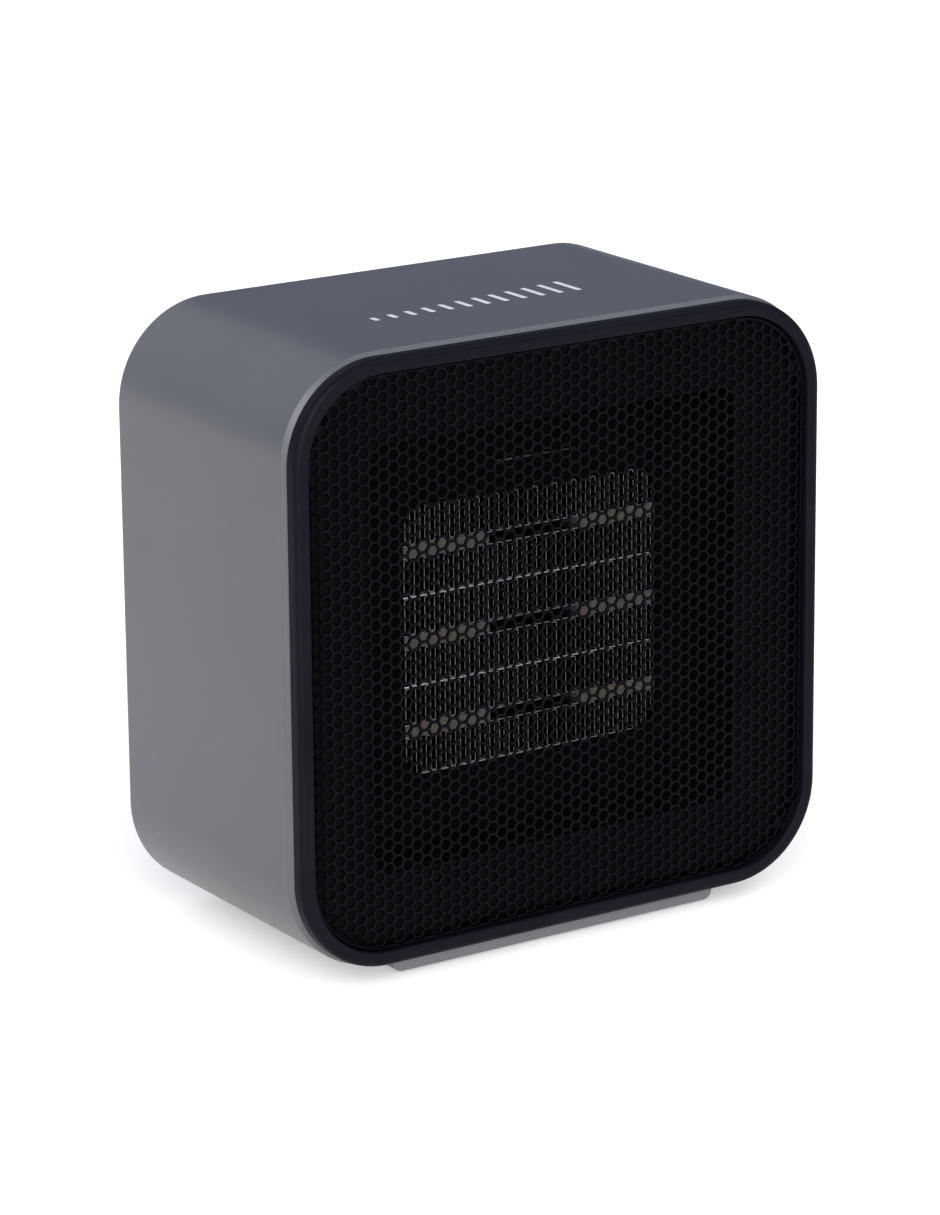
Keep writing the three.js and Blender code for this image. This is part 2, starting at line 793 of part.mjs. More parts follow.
// Strap across the stator that carries a bearing: direction is -1 in front, 1 behind
function bearingBracket(direction) {
  const face = direction < 0 ? back(statorStart) : back(statorEnd);
  const foot = face + direction * fitGap;
  const bridge = face + direction * (coilBuild + fitGap);
  const outerX = statorHalfWidth - bracketFromEdge;
  const kneeX = outerX - bracketStrapFoot;
  const halfZ = bracketStrapWidth / 2;
  const slab = (fromX, toX, a, b) =>
    block(fromX, toX, Math.min(a, b), Math.max(a, b), axisZ - halfZ, axisZ + halfZ);
  const pieces = [slab(-kneeX, kneeX, bridge, bridge - direction * bracketStrap)];
  [-1, 1].forEach((side) => {
    const near = side * kneeX;
    const far = side * outerX;
    const wall = side * (kneeX - bracketStrap);
    pieces.push(slab(Math.min(near, wall), Math.max(near, wall), foot, bridge));
    pieces.push(slab(Math.min(wall, far), Math.max(wall, far), foot, foot + direction * bracketStrap));
  });
  const hole = rod(bushRadius + pressGap, Math.min(foot, bridge) - cutPast, Math.max(foot, bridge) + cutPast);
  return cut(join(...pieces), turnAlongY(hole, smallCircleSteps));
}

function bearingBush(direction) {
  const face = direction < 0 ? back(statorStart) : back(statorEnd);
  const outer = face + direction * (coilBuild + fitGap);
  const inner = outer - direction * bushLength;
  return turnAlongY(
    tube(shaftRadius + runningGap, bushRadius, Math.min(inner, outer), Math.max(inner, outer)),
    smallCircleSteps
  );
}

function addFan() {
  addPiece('fan_shroud', fanShroud(), blackMatte);
  addPiece('impeller', impeller(), fanPlastic);
  const shaft = rod(shaftRadius, back(impellerStart), back(coilEnd));
  addPiece('motor_shaft', turnAlongY(shaft, smallCircleSteps), zincSteel);
  const rotor = tube(shaftRadius + pressGap, rotorRadius, back(statorStart), back(statorEnd));
  addPiece('motor_rotor', turnAlongY(rotor, circleSteps), darkSteel);
  addPiece('motor_stator', motorStator(), darkSteel);
  addPiece('motor_coil', motorCoil(), copper);
  addPiece('bearing_bracket_front', bearingBracket(-1), zincSteel);
  addPiece('bearing_bracket_rear', bearingBracket(1), zincSteel);
  addPiece('bearing_bush_front', bearingBush(-1), bronze);
  addPiece('bearing_bush_rear', bearingBush(1), bronze);
}

// Rear cover: vented plate with a rim inside the casing
function ventSlots() {
  const slots = [];
  for (let row = 0; row < ventRows; row += 1) {
    const offset = (row - (ventRows - 1) / 2) * ventPitch;
    const reach = Math.sqrt(ventRadius ** 2 - offset ** 2);
    const length = reach - ventRib / 2;
    [-1, 1].forEach((side) => {
      const x = side * (ventRib / 2 + length / 2);
      slots.push(roundedHole(length, ventSlot, (ventSlot - ventEndFlat) / 2, x, axisZ + offset));
    });
  }
  return slots;
}

function rearCover() {
  const width = innerWidth - 2 * fitGap;
  const height = innerHeight - 2 * fitGap;
  const corner = innerCorner - fitGap;
  const inside = 2 * coverRimWall;
  const switchHoleWidth = switchBodyWidth + 2 * fitGap;
  const switchHoleHeight = switchBodyHeight + 2 * fitGap;
  const panel = withHoles(
    roundedRect(width, height, corner),
    ...ventSlots(),
    roundedHole(switchHoleWidth, switchHoleHeight, fitGap, switchX, switchZ),
    circleHole(glandNeck + fitGap, glandX, glandZ)
  );
  const rim = withHoles(
    roundedRect(width, height, corner),
    roundedHole(width - inside, height - inside, corner - coverRimWall)
  );
  const sink = coverEnd - screwHeadHeight - fitGap;
  const shankHole = rod(screwShankRadius + fitGap, back(coverStart) - cutPast, backY);
  const headHole = rod(screwHeadRadius + fitGap, back(sink), backY);
  const screwHoles = atFourCorners(postX, postZ).flatMap(([x, z]) =>
    [shankHole, headHole].map((hole) => turnAlongY(hole, smallCircleSteps, x, axisZ + z))
  );
  const whole = join(
    extrudeAlongY(panel, back(coverStart), back(coverEnd)),
    extrudeAlongY(rim, back(coverStart - coverRim), back(coverEnd) - restGap)
  );
  return cut(whole, ...screwHoles);
}

function coverScrew([x, z]) {
  const seat = back(coverEnd - screwHeadHeight);
  const head = seat + screwHeadHeight;
  const profile = [
    [0, seat - screwShankLength], [screwShankRadius, seat - screwShankLength],
    [screwShankRadius, seat], [screwHeadRadius, seat],
    [screwHeadRadius, head - screwHeadHeight / 2], [screwHeadRadius - screwHeadHeight / 2, head], [0, head],
  ];
  return turnAlongY(profile, screwSides, x, axisZ + z);
}

function switchBody() {
  const seat = back(coverEnd) + restGap;
  const flange = roundedRect(switchFlangeWidth, switchFlangeHeight, switchFlangeCorner, switchX, switchZ);
  const body = roundedRect(switchBodyWidth, switchBodyHeight, switchBodyCorner, switchX, switchZ);
  const halfX = switchWindowHalfWidth;
  const halfZ = switchWindowHalfHeight;
  return cut(
    join(
      extrudeAlongY(flange, seat, seat + switchFlange),
      extrudeAlongY(body, seat - switchBodyDepth, seat + switchFlange / 2)
    ),
    block(
      switchX - halfX, switchX + halfX,
      seat - switchBodyDepth + switchBodyFloor, seat + switchFlange + cutPast,
      switchZ - halfZ, switchZ + halfZ
    )
  );
}

// Rocker: a dished top that turns about a pivot just inside the cover
function powerRocker() {
  const pivotY = back(coverEnd - rockerBehindCover);
  const outline = new THREE.Shape();
  const crownY = pivotY + rockerBehindCover + rockerCrown;
  outline.moveTo(-rockerHalfHeight, pivotY);
  outline.quadraticCurveTo(-rockerHalfHeight / 2, pivotY - rockerRoot, 0, pivotY - rockerRoot);
  outline.quadraticCurveTo(rockerHalfHeight / 2, pivotY - rockerRoot, rockerHalfHeight, pivotY);
  outline.lineTo(rockerHalfHeight, crownY);
  outline.quadraticCurveTo(0, crownY - 2 * rockerDish, -rockerHalfHeight, crownY);
  const width = 2 * (switchWindowHalfWidth - rockerSideGap);
  const settings = { depth: width, curveSegments: arcSteps, bevelEnabled: false };
  const geometry = toGeometry(toSolid(new THREE.ExtrudeGeometry(outline, settings)));
  geometry.rotateY(halfTurn / 2);
  geometry.translate(switchX - width / 2, 0, switchZ);
  return geometry;
}

function cordGland() {
  const inner = back(coverStart) - restGap;
  const outer = back(coverEnd) + restGap;
  const profile = [
    [glandBore, inner - glandFlangeThickness], [glandFlange, inner - glandFlangeThickness],
    [glandFlange, inner], [glandNeck, inner], [glandNeck, outer], [glandFlange, outer],
    [glandFlange - glandFlangeThickness / 2, outer + glandFlangeThickness],
    [glandBore, outer + glandFlangeThickness], [glandBore, inner - glandFlangeThickness],
  ];
  return turnAlongY(profile, smallCircleSteps, glandX, glandZ);
}

function addRear() {
  addPiece('rear_cover', rearCover(), blackMatte);
  atFourCorners(postX, postZ).forEach((corner, index) => {
    addPiece(`cover_screw_${index + 1}`, coverScrew(corner), zincSteel);
  });
  addPiece('switch_body', switchBody(), blackGloss);
  addPiece('power_rocker', powerRocker(), blackGloss);
  addPiece('cord_gland', cordGland(), rubber);
}

// Tip-over switch: the plunger stands on the floor and a spring pushes it down
function addTipSwitch() {
  const bottom = caseFloor + restGap;
  const top = bottom + tipHeight;
  const bore = turnAlongZ(rod(tipBoreRadius, bottom - cutPast, top - tipRoof), smallCircleSteps, 0, tipY);
  const halfX = tipWidth / 2;
  const halfY = tipDepth / 2;
  const housing = block(-halfX, halfX, tipY - halfY, tipY + halfY, bottom, top);
  addPiece('tip_switch_body', cut(housing, bore), blackMatte);

  const collarBottom = caseFloor + fitGap + plungerTravel;
  const collarTop = collarBottom + collarThickness;
  const profile = [
    [0, 0], [plungerRadius, 0], [plungerRadius, collarBottom], [collarRadius, collarBottom],
    [collarRadius, collarTop], [plungerRadius, collarTop],
    [plungerRadius, collarTop + plungerAboveCollar], [0, collarTop + plungerAboveCollar],
  ];
  addPiece('tip_plunger', turnAlongZ(profile, smallCircleSteps, 0, tipY), heatPlastic);
  addPiece('tip_spring', tipSpring(collarTop, top - tipRoof), zincSteel);
}

function tipSpring(from, to) {
  const start = from + restGap + springWireRadius;
  const rise = to - restGap - springWireRadius - start;
  const points = [];
  const steps = springTurns * springStepsPerTurn;
  for (let step = 0; step <= steps; step += 1) {
    const angle = (step * 2 * halfTurn) / springStepsPerTurn;
    const height = start + (rise * step) / steps;
    points.push(
      new THREE.Vector3(springMeanRadius * Math.cos(angle), tipY + springMeanRadius * Math.sin(angle), height)
    );
  }
  const wire = new THREE.Shape().absarc(0, 0, springWireRadius, 0, 2 * halfTurn, false);
  return new THREE.ExtrudeGeometry(wire, {
    extrudePath: new THREE.CatmullRomCurve3(points),
    steps,
    curveSegments: wireSteps,
    bevelEnabled: false,
  });
}

// Foot: a shallow plinth with rounded lower edges, pockets for pads and two hooks
function footOutline() {
  const top = standHeight - restGap;
  const centreX = footHalfWidth - footCorner;
  const centreZ = padProud + footCorner;
  const outline = new THREE.Shape();
  outline.moveTo(-footHalfWidth, top);
  outline.lineTo(-footHalfWidth, centreZ);
  outline.absarc(-centreX, centreZ, footCorner, halfTurn, 1.5 * halfTurn, false);
  outline.lineTo(centreX, padProud);
  outline.absarc(centreX, centreZ, footCorner, 1.5 * halfTurn, 2 * halfTurn, false);
  outline.lineTo(footHalfWidth, top);
  return outline;
}

function padPlaces() {
  const x = footHalfWidth - padInset;
  const rear = footBackY - padInset;
  const front = footFrontY + padInset;
  return [[x, rear], [-x, rear], [-x, front], [x, front]];
}

function footBase() {
  const plinth = extrudeAlongY(footOutline(), footFrontY, footBackY);
  const hooks = [-1, 1].flatMap((side) => {
    const y = side * hookFromMiddle;
    const top = caseFloor + restGap;
    const stem = [y - hookStem / 2, y + hookStem / 2];
    return [
      block(-hookWidth / 2, hookWidth / 2, ...stem, standHeight - cutPast, caseFloor + hookRise),
      block(-hookWidth / 2, hookWidth / 2, stem[0], stem[1] + hookBarb, top, top + hookBarb),
    ];
  });
  const pockets = padPlaces().map(([x, y]) =>
    turnAlongZ(rod(padRadius + fitGap, 0, padThickness + fitGap), smallCircleSteps, x, y)
  );
  const plungerHole = turnAlongZ(rod(plungerHoleRadius, 0, standHeight), smallCircleSteps, 0, tipY);
  return cut(join(plinth, ...hooks), ...pockets, plungerHole);
}

function addFoot() {
  addPiece('foot_base', footBase(), greyPaint);
  padPlaces().forEach(([x, y], index) => {
    const chamfer = padProud / 2;
    const profile = [
      [0, 0], [padRadius - chamfer, 0], [padRadius, chamfer], [padRadius, padThickness], [0, padThickness],
    ];
    addPiece(`rubber_pad_${index + 1}`, turnAlongZ(profile, smallCircleSteps, x, y), rubber);
  });
}

addPiece('casing_sleeve', casingSleeve(), greyPaint);
addPiece('front_bezel', frontBezel(), blackGloss);
addPiece('front_grille', frontGrille(), blackSteel);
addPiece('front_frame', frontFrame(), blackMatte);
addPiece('element_plate', elementPlate(), blackMatte);
addElement();
addCutout();
addFan();
addRear();
addTipSwitch();
addFoot();

export default heater;
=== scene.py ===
import json
import math
import random
import bmesh
import bpy
from mathutils import Matrix, Vector
from mathutils.bvhtree import BVHTree
from mathutils.geometry import tessellate_polygon

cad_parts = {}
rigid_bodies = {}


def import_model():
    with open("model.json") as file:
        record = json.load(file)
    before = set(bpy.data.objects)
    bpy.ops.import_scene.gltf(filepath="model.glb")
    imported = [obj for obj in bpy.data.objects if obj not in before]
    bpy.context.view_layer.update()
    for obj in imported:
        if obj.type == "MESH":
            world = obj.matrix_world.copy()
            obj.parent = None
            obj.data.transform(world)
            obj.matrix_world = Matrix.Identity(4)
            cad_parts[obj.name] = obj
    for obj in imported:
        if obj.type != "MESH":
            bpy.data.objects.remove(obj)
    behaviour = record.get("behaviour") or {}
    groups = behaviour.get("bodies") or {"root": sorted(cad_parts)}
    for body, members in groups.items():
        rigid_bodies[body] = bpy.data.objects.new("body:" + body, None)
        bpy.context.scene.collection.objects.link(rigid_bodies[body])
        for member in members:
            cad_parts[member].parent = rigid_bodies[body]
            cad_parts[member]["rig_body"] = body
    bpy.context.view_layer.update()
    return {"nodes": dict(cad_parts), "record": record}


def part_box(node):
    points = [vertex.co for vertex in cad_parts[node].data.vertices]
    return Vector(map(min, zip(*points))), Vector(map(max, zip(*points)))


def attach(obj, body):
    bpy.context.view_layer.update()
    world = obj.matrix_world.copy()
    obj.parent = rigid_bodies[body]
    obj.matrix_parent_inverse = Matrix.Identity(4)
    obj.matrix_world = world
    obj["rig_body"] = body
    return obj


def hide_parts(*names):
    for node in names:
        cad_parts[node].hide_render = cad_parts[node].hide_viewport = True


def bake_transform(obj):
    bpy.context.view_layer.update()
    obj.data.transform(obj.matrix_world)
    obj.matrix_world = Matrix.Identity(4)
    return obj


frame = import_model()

mm = 0.001

caseLow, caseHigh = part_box("casing_sleeve")
middleZ = (caseLow.z + caseHigh.z) / 2


def addObject(name, data):
    thing = bpy.data.objects.new(name, data)
    bpy.context.scene.collection.objects.link(thing)
    return thing


def sizeOf(node):
    low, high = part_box(node)
    return high.x - low.x, high.z - low.z


def middleOf(node):
    low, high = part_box(node)
    return (low.x + high.x) / 2, (low.z + high.z) / 2


# The camera comes first. It looks at the middle of the heater from its front left, a little above.
camera = {
    "turn": 33.27,  # degrees round from straight in front
    "tilt": 16.15,  # degrees down
    "lean": -0.5,  # degrees to one side
    "away": 1178 * mm,
    "aside": -0.96 * mm,
    "raise": -3.22 * mm,
    "lens": 143.7,
    "sees": (0.01, 50),
}


def makeCamera():
    turn, tilt, lean = (math.radians(camera[k]) for k in ("turn", "tilt", "lean"))
    ahead = Vector((math.sin(turn) * math.cos(tilt), math.cos(turn) * math.cos(tilt), -math.sin(tilt)))
    right = Vector((math.cos(turn), -math.sin(turn), 0))
    up = right.cross(ahead)
    spot = Vector((0, 0, middleZ)) - ahead * camera["away"] + right * camera["aside"] + up * camera["raise"]
    leanRight = right * math.cos(lean) + up * math.sin(lean)
    leanUp = up * math.cos(lean) - right * math.sin(lean)
    data = bpy.data.cameras.new("camera")
    data.lens = camera["lens"]
    data.clip_start, data.clip_end = camera["sees"]
    eye = addObject("camera", data)
    facing = Matrix((leanRight, leanUp, -ahead)).transposed().to_4x4()
    eye.matrix_world = Matrix.Translation(spot) @ facing
    bpy.context.scene.camera = eye


makeCamera()
print("camera placed")


# Finishes. Every surface is node built, on object coordinates in metres.
noiseRoughness = 0.55
plainLook = {"metallic": 0, "coat": 0, "coatRoughness": 0.2, "shine": 0.5}


def setInputs(node, values):
    for name, value in values.items():
        node.inputs[name].default_value = value


def newFinish(name):
    material = bpy.data.materials.new(name)
    material.use_nodes = True
    tree = material.node_tree
    shader = tree.nodes["Principled BSDF"]
    where = tree.nodes.new("ShaderNodeTexCoord")
    return material, tree, shader, where.outputs["Object"]


def stretched(tree, where, stretch):
    mapping = tree.nodes.new("ShaderNodeMapping")
    mapping.inputs["Scale"].default_value = stretch
    tree.links.new(where, mapping.inputs["Vector"])
    return mapping.outputs["Vector"]


def noise(tree, where, scale, detail=3):
    node = tree.nodes.new("ShaderNodeTexNoise")
    setInputs(node, {"Scale": scale, "Detail": detail, "Roughness": noiseRoughness})
    tree.links.new(where, node.inputs["Vector"])
    return node.outputs["Fac"]


def spread(tree, value, low, high, fromLow=0.3, fromHigh=0.7):
    node = tree.nodes.new("ShaderNodeMapRange")
    setInputs(node, {"From Min": fromLow, "From Max": fromHigh, "To Min": low, "To Max": high})
    tree.links.new(value, node.inputs["Value"])
    return node.outputs["Result"]


def blendTones(tree, amount, first, second):
    node = tree.nodes.new("ShaderNodeMix")
    node.data_type = "RGBA"
    tree.links.new(amount, node.inputs["Factor"])
    setTone(tree, node.inputs["A"], first)
    setTone(tree, node.inputs["B"], second)
    return node.outputs["Result"]


def setTone(tree, socket, tone):
    if isinstance(tone, tuple):
        socket.default_value = (*tone, 1)
    else:
        tree.links.new(tone, socket)


def bump(tree, shader, height, distance):
    node = tree.nodes.new("ShaderNodeBump")
    node.inputs["Distance"].default_value = distance
    tree.links.new(height, node.inputs["Height"])
    tree.links.new(node.outputs["Normal"], shader.inputs["Normal"])


def satin(name, ownLook):
    look = {**plainLook, **ownLook}
    material, tree, shader, where = newFinish(name)
    patches = noise(tree, where, look["patchScale"])
    tone = blendTones(tree, spread(tree, patches, 0, 1), look["tone"], look["otherTone"])
    tree.links.new(tone, shader.inputs["Base Color"])
    grain = noise(tree, where, look["grainScale"], 2)
    tree.links.new(spread(tree, grain, *look["roughness"]), shader.inputs["Roughness"])
    bump(tree, shader, grain, look["grainDepth"])
    shader.inputs["Metallic"].default_value = look["metallic"]
    shader.inputs["Coat Weight"].default_value = look["coat"]
    shader.inputs["Coat Roughness"].default_value = look["coatRoughness"]
    shader.inputs["Specular IOR Level"].default_value = look["shine"]
    return material


# Fine metal flakes under a satin coat
casingLook = {
    "tone": (0.072, 0.074, 0.082),
    "otherTone": (0.078, 0.08, 0.09),
    "patchScale": 45,
    "grainScale": 2600,
    "grainDepth": 0.012 * mm,
    "roughness": (0.42, 0.52),
    "metallic": 0.25,
    "coat": 0.25,
    "coatRoughness": 0.35,
    "flakeScale": 5200,
    "flakeTone": (0.11, 0.112, 0.123),
    "flakeShare": 0.5,
    "flakeReach": 0.35,
}
# Brighter copy of the casing paint for the foot: painted light on the foot's front face, which the ring's
# overhang shades from the lamps
litFootLook = {**casingLook, "tone": (0.112, 0.114, 0.125), "otherTone": (0.12, 0.123, 0.135)}


def casingPaint(name, look):
    material = satin(name, look)
    tree = material.node_tree
    shader = tree.nodes["Principled BSDF"]
    base = shader.inputs["Base Color"].links[0].from_socket
    where = tree.nodes["Texture Coordinate"].outputs["Object"]
    flakes = tree.nodes.new("ShaderNodeTexVoronoi")
    flakes.inputs["Scale"].default_value = look["flakeScale"]
    tree.links.new(where, flakes.inputs["Vector"])
    sparkle = spread(tree, flakes.outputs["Distance"], look["flakeShare"], 0, 0, look["flakeReach"])
    tree.links.new(blendTones(tree, sparkle, base, look["flakeTone"]), shader.inputs["Base Color"])
    return material


looks = {
    "black_plastic": {
        "tone": (0.003, 0.0032, 0.006), "otherTone": (0.0045, 0.0048, 0.008), "patchScale": 60,
        "grainScale": 1800, "grainDepth": 0.006 * mm, "roughness": (0.4, 0.5), "shine": 0.06,
    },
    "grille_steel": {
        "tone": (0.0013, 0.0014, 0.0026), "otherTone": (0.002, 0.0021, 0.0036), "patchScale": 70,
        "grainScale": 3000, "grainDepth": 0.01 * mm, "roughness": (0.4, 0.52), "shine": 0.05,
    },
    # Darker than the moulding's own black plastic: painted shade, so that what is seen through the grille
    # holes stays dark
    "frame_plastic": {
        "tone": (0.002, 0.002, 0.003), "otherTone": (0.003, 0.003, 0.004), "patchScale": 80,
        "grainScale": 1500, "grainDepth": 0.03 * mm, "roughness": (0.6, 0.75), "shine": 0.05,
    },
    "cover_plastic": {
        "tone": (0.009, 0.009, 0.011), "otherTone": (0.012, 0.012, 0.014), "patchScale": 80,
        "grainScale": 1500, "grainDepth": 0.03 * mm, "roughness": (0.5, 0.62), "shine": 0.25,
    },
    # Near black: the plate's own black deepened with painted shade for the recess round the element
    "plate_steel": {
        "tone": (0.0008, 0.0008, 0.0012), "otherTone": (0.0014, 0.0014, 0.002), "patchScale": 90,
        "grainScale": 2400, "grainDepth": 0.01 * mm, "roughness": (0.6, 0.72), "shine": 0.03,
    },
    "heat_plastic": {
        "tone": (0.6, 0.55, 0.45), "otherTone": (0.66, 0.6, 0.5), "patchScale": 120,
        "grainScale": 1700, "grainDepth": 0.02 * mm, "roughness": (0.45, 0.6),
    },
    "fan_plastic": {
        "tone": (0.02, 0.021, 0.025), "otherTone": (0.026, 0.027, 0.031), "patchScale": 80,
        "grainScale": 1200, "grainDepth": 0.015 * mm, "roughness": (0.38, 0.5),
    },
    "rubber": {
        "tone": (0.012, 0.012, 0.013), "otherTone": (0.02, 0.02, 0.021), "patchScale": 200,
        "grainScale": 2200, "grainDepth": 0.04 * mm, "roughness": (0.75, 0.9), "shine": 0.3,
    },
    "zinc_steel": {
        "tone": (0.5, 0.5, 0.51), "otherTone": (0.58, 0.57, 0.55), "patchScale": 160,
        "grainScale": 1400, "grainDepth": 0.008 * mm, "roughness": (0.28, 0.42), "metallic": 1,
    },
    "dull_steel": {
        "tone": (0.05, 0.05, 0.053), "otherTone": (0.07, 0.07, 0.072), "patchScale": 160,
        "grainScale": 1400, "grainDepth": 0.008 * mm, "roughness": (0.4, 0.5), "metallic": 1,
    },
    "bronze": {
        "tone": (0.4, 0.25, 0.1), "otherTone": (0.46, 0.31, 0.14), "patchScale": 300,
        "grainScale": 3800, "grainDepth": 0.03 * mm, "roughness": (0.42, 0.55), "metallic": 1,
    },
    "paper_mark": {
        "tone": (0.62, 0.63, 0.66), "otherTone": (0.68, 0.69, 0.72), "patchScale": 300,
        "grainScale": 2600, "grainDepth": 0.004 * mm, "roughness": (0.5, 0.6),
    },
}

# Drawn foil and strip: fine streaks along the length, a little heat staining
foilLook = {
    "tone": (0.17, 0.168, 0.18),
    "otherTone": (0.22, 0.218, 0.23),
    "streak": (120, 4000, 900),
    "streakDepth": 0.006 * mm,
    "stainScale": 90,
    "roughness": (0.14, 0.24),
}
stripLook = {**foilLook, "tone": (0.36, 0.36, 0.37), "otherTone": (0.46, 0.46, 0.47)}


def aluminiumFoil(name, look):
    material, tree, shader, where = newFinish(name)
    streaks = noise(tree, stretched(tree, where, look["streak"]), 1, 2)
    stains = noise(tree, where, look["stainScale"])
    tone = blendTones(tree, spread(tree, stains, 0, 1), look["tone"], look["otherTone"])
    tree.links.new(tone, shader.inputs["Base Color"])
    tree.links.new(spread(tree, streaks, *look["roughness"]), shader.inputs["Roughness"])
    bump(tree, shader, streaks, look["streakDepth"])
    shader.inputs["Metallic"].default_value = 1
    return material


# Bare fired ceramic: warm, mottled, with dark pits
stoneLook = {
    "tone": (0.08, 0.069, 0.05),
    "otherTone": (0.053, 0.045, 0.032),
    "pit": (0.035, 0.028, 0.018),
    "mottleScale": 700,
    "pitScale": 2600,
    "pitDepth": 0.05 * mm,
    "pitStart": 0.3,
    "pitToneEnd": 0.42,
    "pitSlopeEnd": 0.5,
    "roughness": 0.8,
}


def ceramicStone():
    material, tree, shader, where = newFinish("ceramic")
    mottle = spread(tree, noise(tree, where, stoneLook["mottleScale"]), 0, 1)
    body = blendTones(tree, mottle, stoneLook["tone"], stoneLook["otherTone"])
    pits = noise(tree, where, stoneLook["pitScale"], 1)
    dark = spread(tree, pits, 1, 0, stoneLook["pitStart"], stoneLook["pitToneEnd"])
    tree.links.new(blendTones(tree, dark, body, stoneLook["pit"]), shader.inputs["Base Color"])
    shader.inputs["Roughness"].default_value = stoneLook["roughness"]
    slope = spread(tree, pits, 0, 1, stoneLook["pitStart"], stoneLook["pitSlopeEnd"])
    bump(tree, shader, slope, stoneLook["pitDepth"])
    return material


# Fine parallel lines: stacked laminations along Y, enamelled wire along X
linedLooks = {
    "motor_steel": {
        "tone": (0.16, 0.16, 0.17), "otherTone": (0.07, 0.07, 0.075), "along": (0, 1, 0), "pitch": 0.5 * mm,
        "depth": 0.05 * mm, "grainScale": 900, "roughness": (0.35, 0.5), "metallic": 0.9,
    },
    "copper": {
        "tone": (0.5, 0.17, 0.06), "otherTone": (0.22, 0.07, 0.03), "along": (1, 0, 0), "pitch": 0.45 * mm,
        "depth": 0.04 * mm, "grainScale": 900, "roughness": (0.25, 0.35), "metallic": 0.9,
    },
}


def lined(name):
    look = linedLooks[name]
    material, tree, shader, where = newFinish(name)
    dot = tree.nodes.new("ShaderNodeVectorMath")
    dot.operation = "DOT_PRODUCT"
    dot.inputs[1].default_value = Vector(look["along"]) * (2 * math.pi / look["pitch"])
    tree.links.new(where, dot.inputs[0])
    wave = tree.nodes.new("ShaderNodeMath")
    wave.operation = "COSINE"
    tree.links.new(dot.outputs["Value"], wave.inputs[0])
    height = spread(tree, wave.outputs["Value"], 0, 1, -1, 1)
    tree.links.new(blendTones(tree, height, look["otherTone"], look["tone"]), shader.inputs["Base Color"])
    grain = noise(tree, where, look["grainScale"])
    tree.links.new(spread(tree, grain, *look["roughness"]), shader.inputs["Roughness"])
    shader.inputs["Metallic"].default_value = look["metallic"]
    bump(tree, shader, height, look["depth"])
    return material


finishes = {name: satin(name, look) for name, look in looks.items()}
finishes["casing_paint"] = casingPaint("casing_paint", casingLook)
finishes["lit_foot_paint"] = casingPaint("lit_foot_paint", litFootLook)
finishes["aluminium"] = aluminiumFoil("aluminium", foilLook)
finishes["aluminium_strip"] = aluminiumFoil("aluminium_strip", stripLook)
finishes["ceramic"] = ceramicStone()
for linedName in linedLooks:
    finishes[linedName] = lined(linedName)
print("finishes made:", len(finishes))


# Mesh helpers. Outlines are drawn in the X-Z plane, counted the same way round every time.
weldReach = 0.002 * mm
cadWeldReach = 0.005 * mm
roundingShare = 0.499  # of an edge's length, so that two roundings never meet
smallestCorner = 0.05 * mm
onAxis = 1e-7
flatAngle = math.radians(1)
sharpFrom = math.radians(35)
mitreLimit = 0.3


def arc(centre, radius, start, end, steps):
    for step in range(steps + 1):
        angle = start + (end - start) * step / steps
        yield (centre[0] + radius * math.cos(angle), centre[1] + radius * math.sin(angle))


def roundedOutline(width, height, corner, centre=(0, middleZ), steps=14):
    points = []
    for quarter in range(4):
        toRight = 1 if quarter in (0, 3) else -1
        toTop = 1 if quarter < 2 else -1
        middle = (centre[0] + toRight * (width / 2 - corner), centre[1] + toTop * (height / 2 - corner))
        points += arc(middle, corner, quarter * math.pi / 2, (quarter + 1) * math.pi / 2, steps)
    return points


def circle(radius, centre, steps):
    return list(arc(centre, radius, 0, 2 * math.pi, steps))[:-1]


def filleted(corners, segments=5):
    points = []
    count = len(corners)
    for index, (x, y, radius) in enumerate(corners):
        here = Vector((x, y))
        before = Vector(corners[index - 1][:2]) - here
        after = Vector(corners[(index + 1) % count][:2]) - here
        if radius <= 0:
            points.append((x, y))
            continue
        half = before.angle(after) / 2
        reach = min(radius / math.tan(half), before.length * roundingShare, after.length * roundingShare)
        start = here + before.normalized() * reach
        end = here + after.normalized() * reach
        for step in range(segments + 1):
            t = step / segments
            mixed = start * (1 - t) ** 2 + here * 2 * t * (1 - t) + end * t ** 2
            points.append((mixed.x, mixed.y))
    return points


def welded(mesh, withoutSlivers=False):
    work = bmesh.new()
    work.from_mesh(mesh)
    bmesh.ops.remove_doubles(work, verts=work.verts, dist=weldReach)
    if withoutSlivers:
        bmesh.ops.dissolve_degenerate(work, edges=work.edges, dist=weldReach / 2)
    bmesh.ops.recalc_face_normals(work, faces=work.faces)
    work.to_mesh(mesh)
    work.free()
    return mesh


def place(name, mesh, finish, body, nodes=(), sharpAngle=40):
    welded(mesh, withoutSlivers=True)
    mesh.name = name
    mesh.shade_smooth()
    mesh.set_sharp_from_angle(angle=math.radians(sharpAngle))
    mesh.materials.clear()
    mesh.materials.append(finishes[finish])
    piece = addObject(name, mesh)
    if body:
        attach(piece, body)
    if nodes:
        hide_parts(*nodes)
    return piece


def meshOf(points, faces):
    mesh = bpy.data.meshes.new("draft")
    mesh.from_pydata([tuple(p) for p in points], [], faces)
    return mesh


def loft(loops, closed=False):
    size = len(loops[0])
    points = [p for loop in loops for p in loop]
    faces = []
    spans = len(loops) if closed else len(loops) - 1
    for row in range(spans):
        nextRow = (row + 1) % len(loops)
        for i in range(size):
            j = (i + 1) % size
            faces.append((row * size + i, row * size + j, nextRow * size + j, nextRow * size + i))
    if not closed:
        faces.append(tuple(range(size)))
        faces.append(tuple(range((len(loops) - 1) * size, len(loops) * size)))
    return meshOf(points, faces)


def standing(outline, y):
    return [(x, y, z) for x, z in outline]


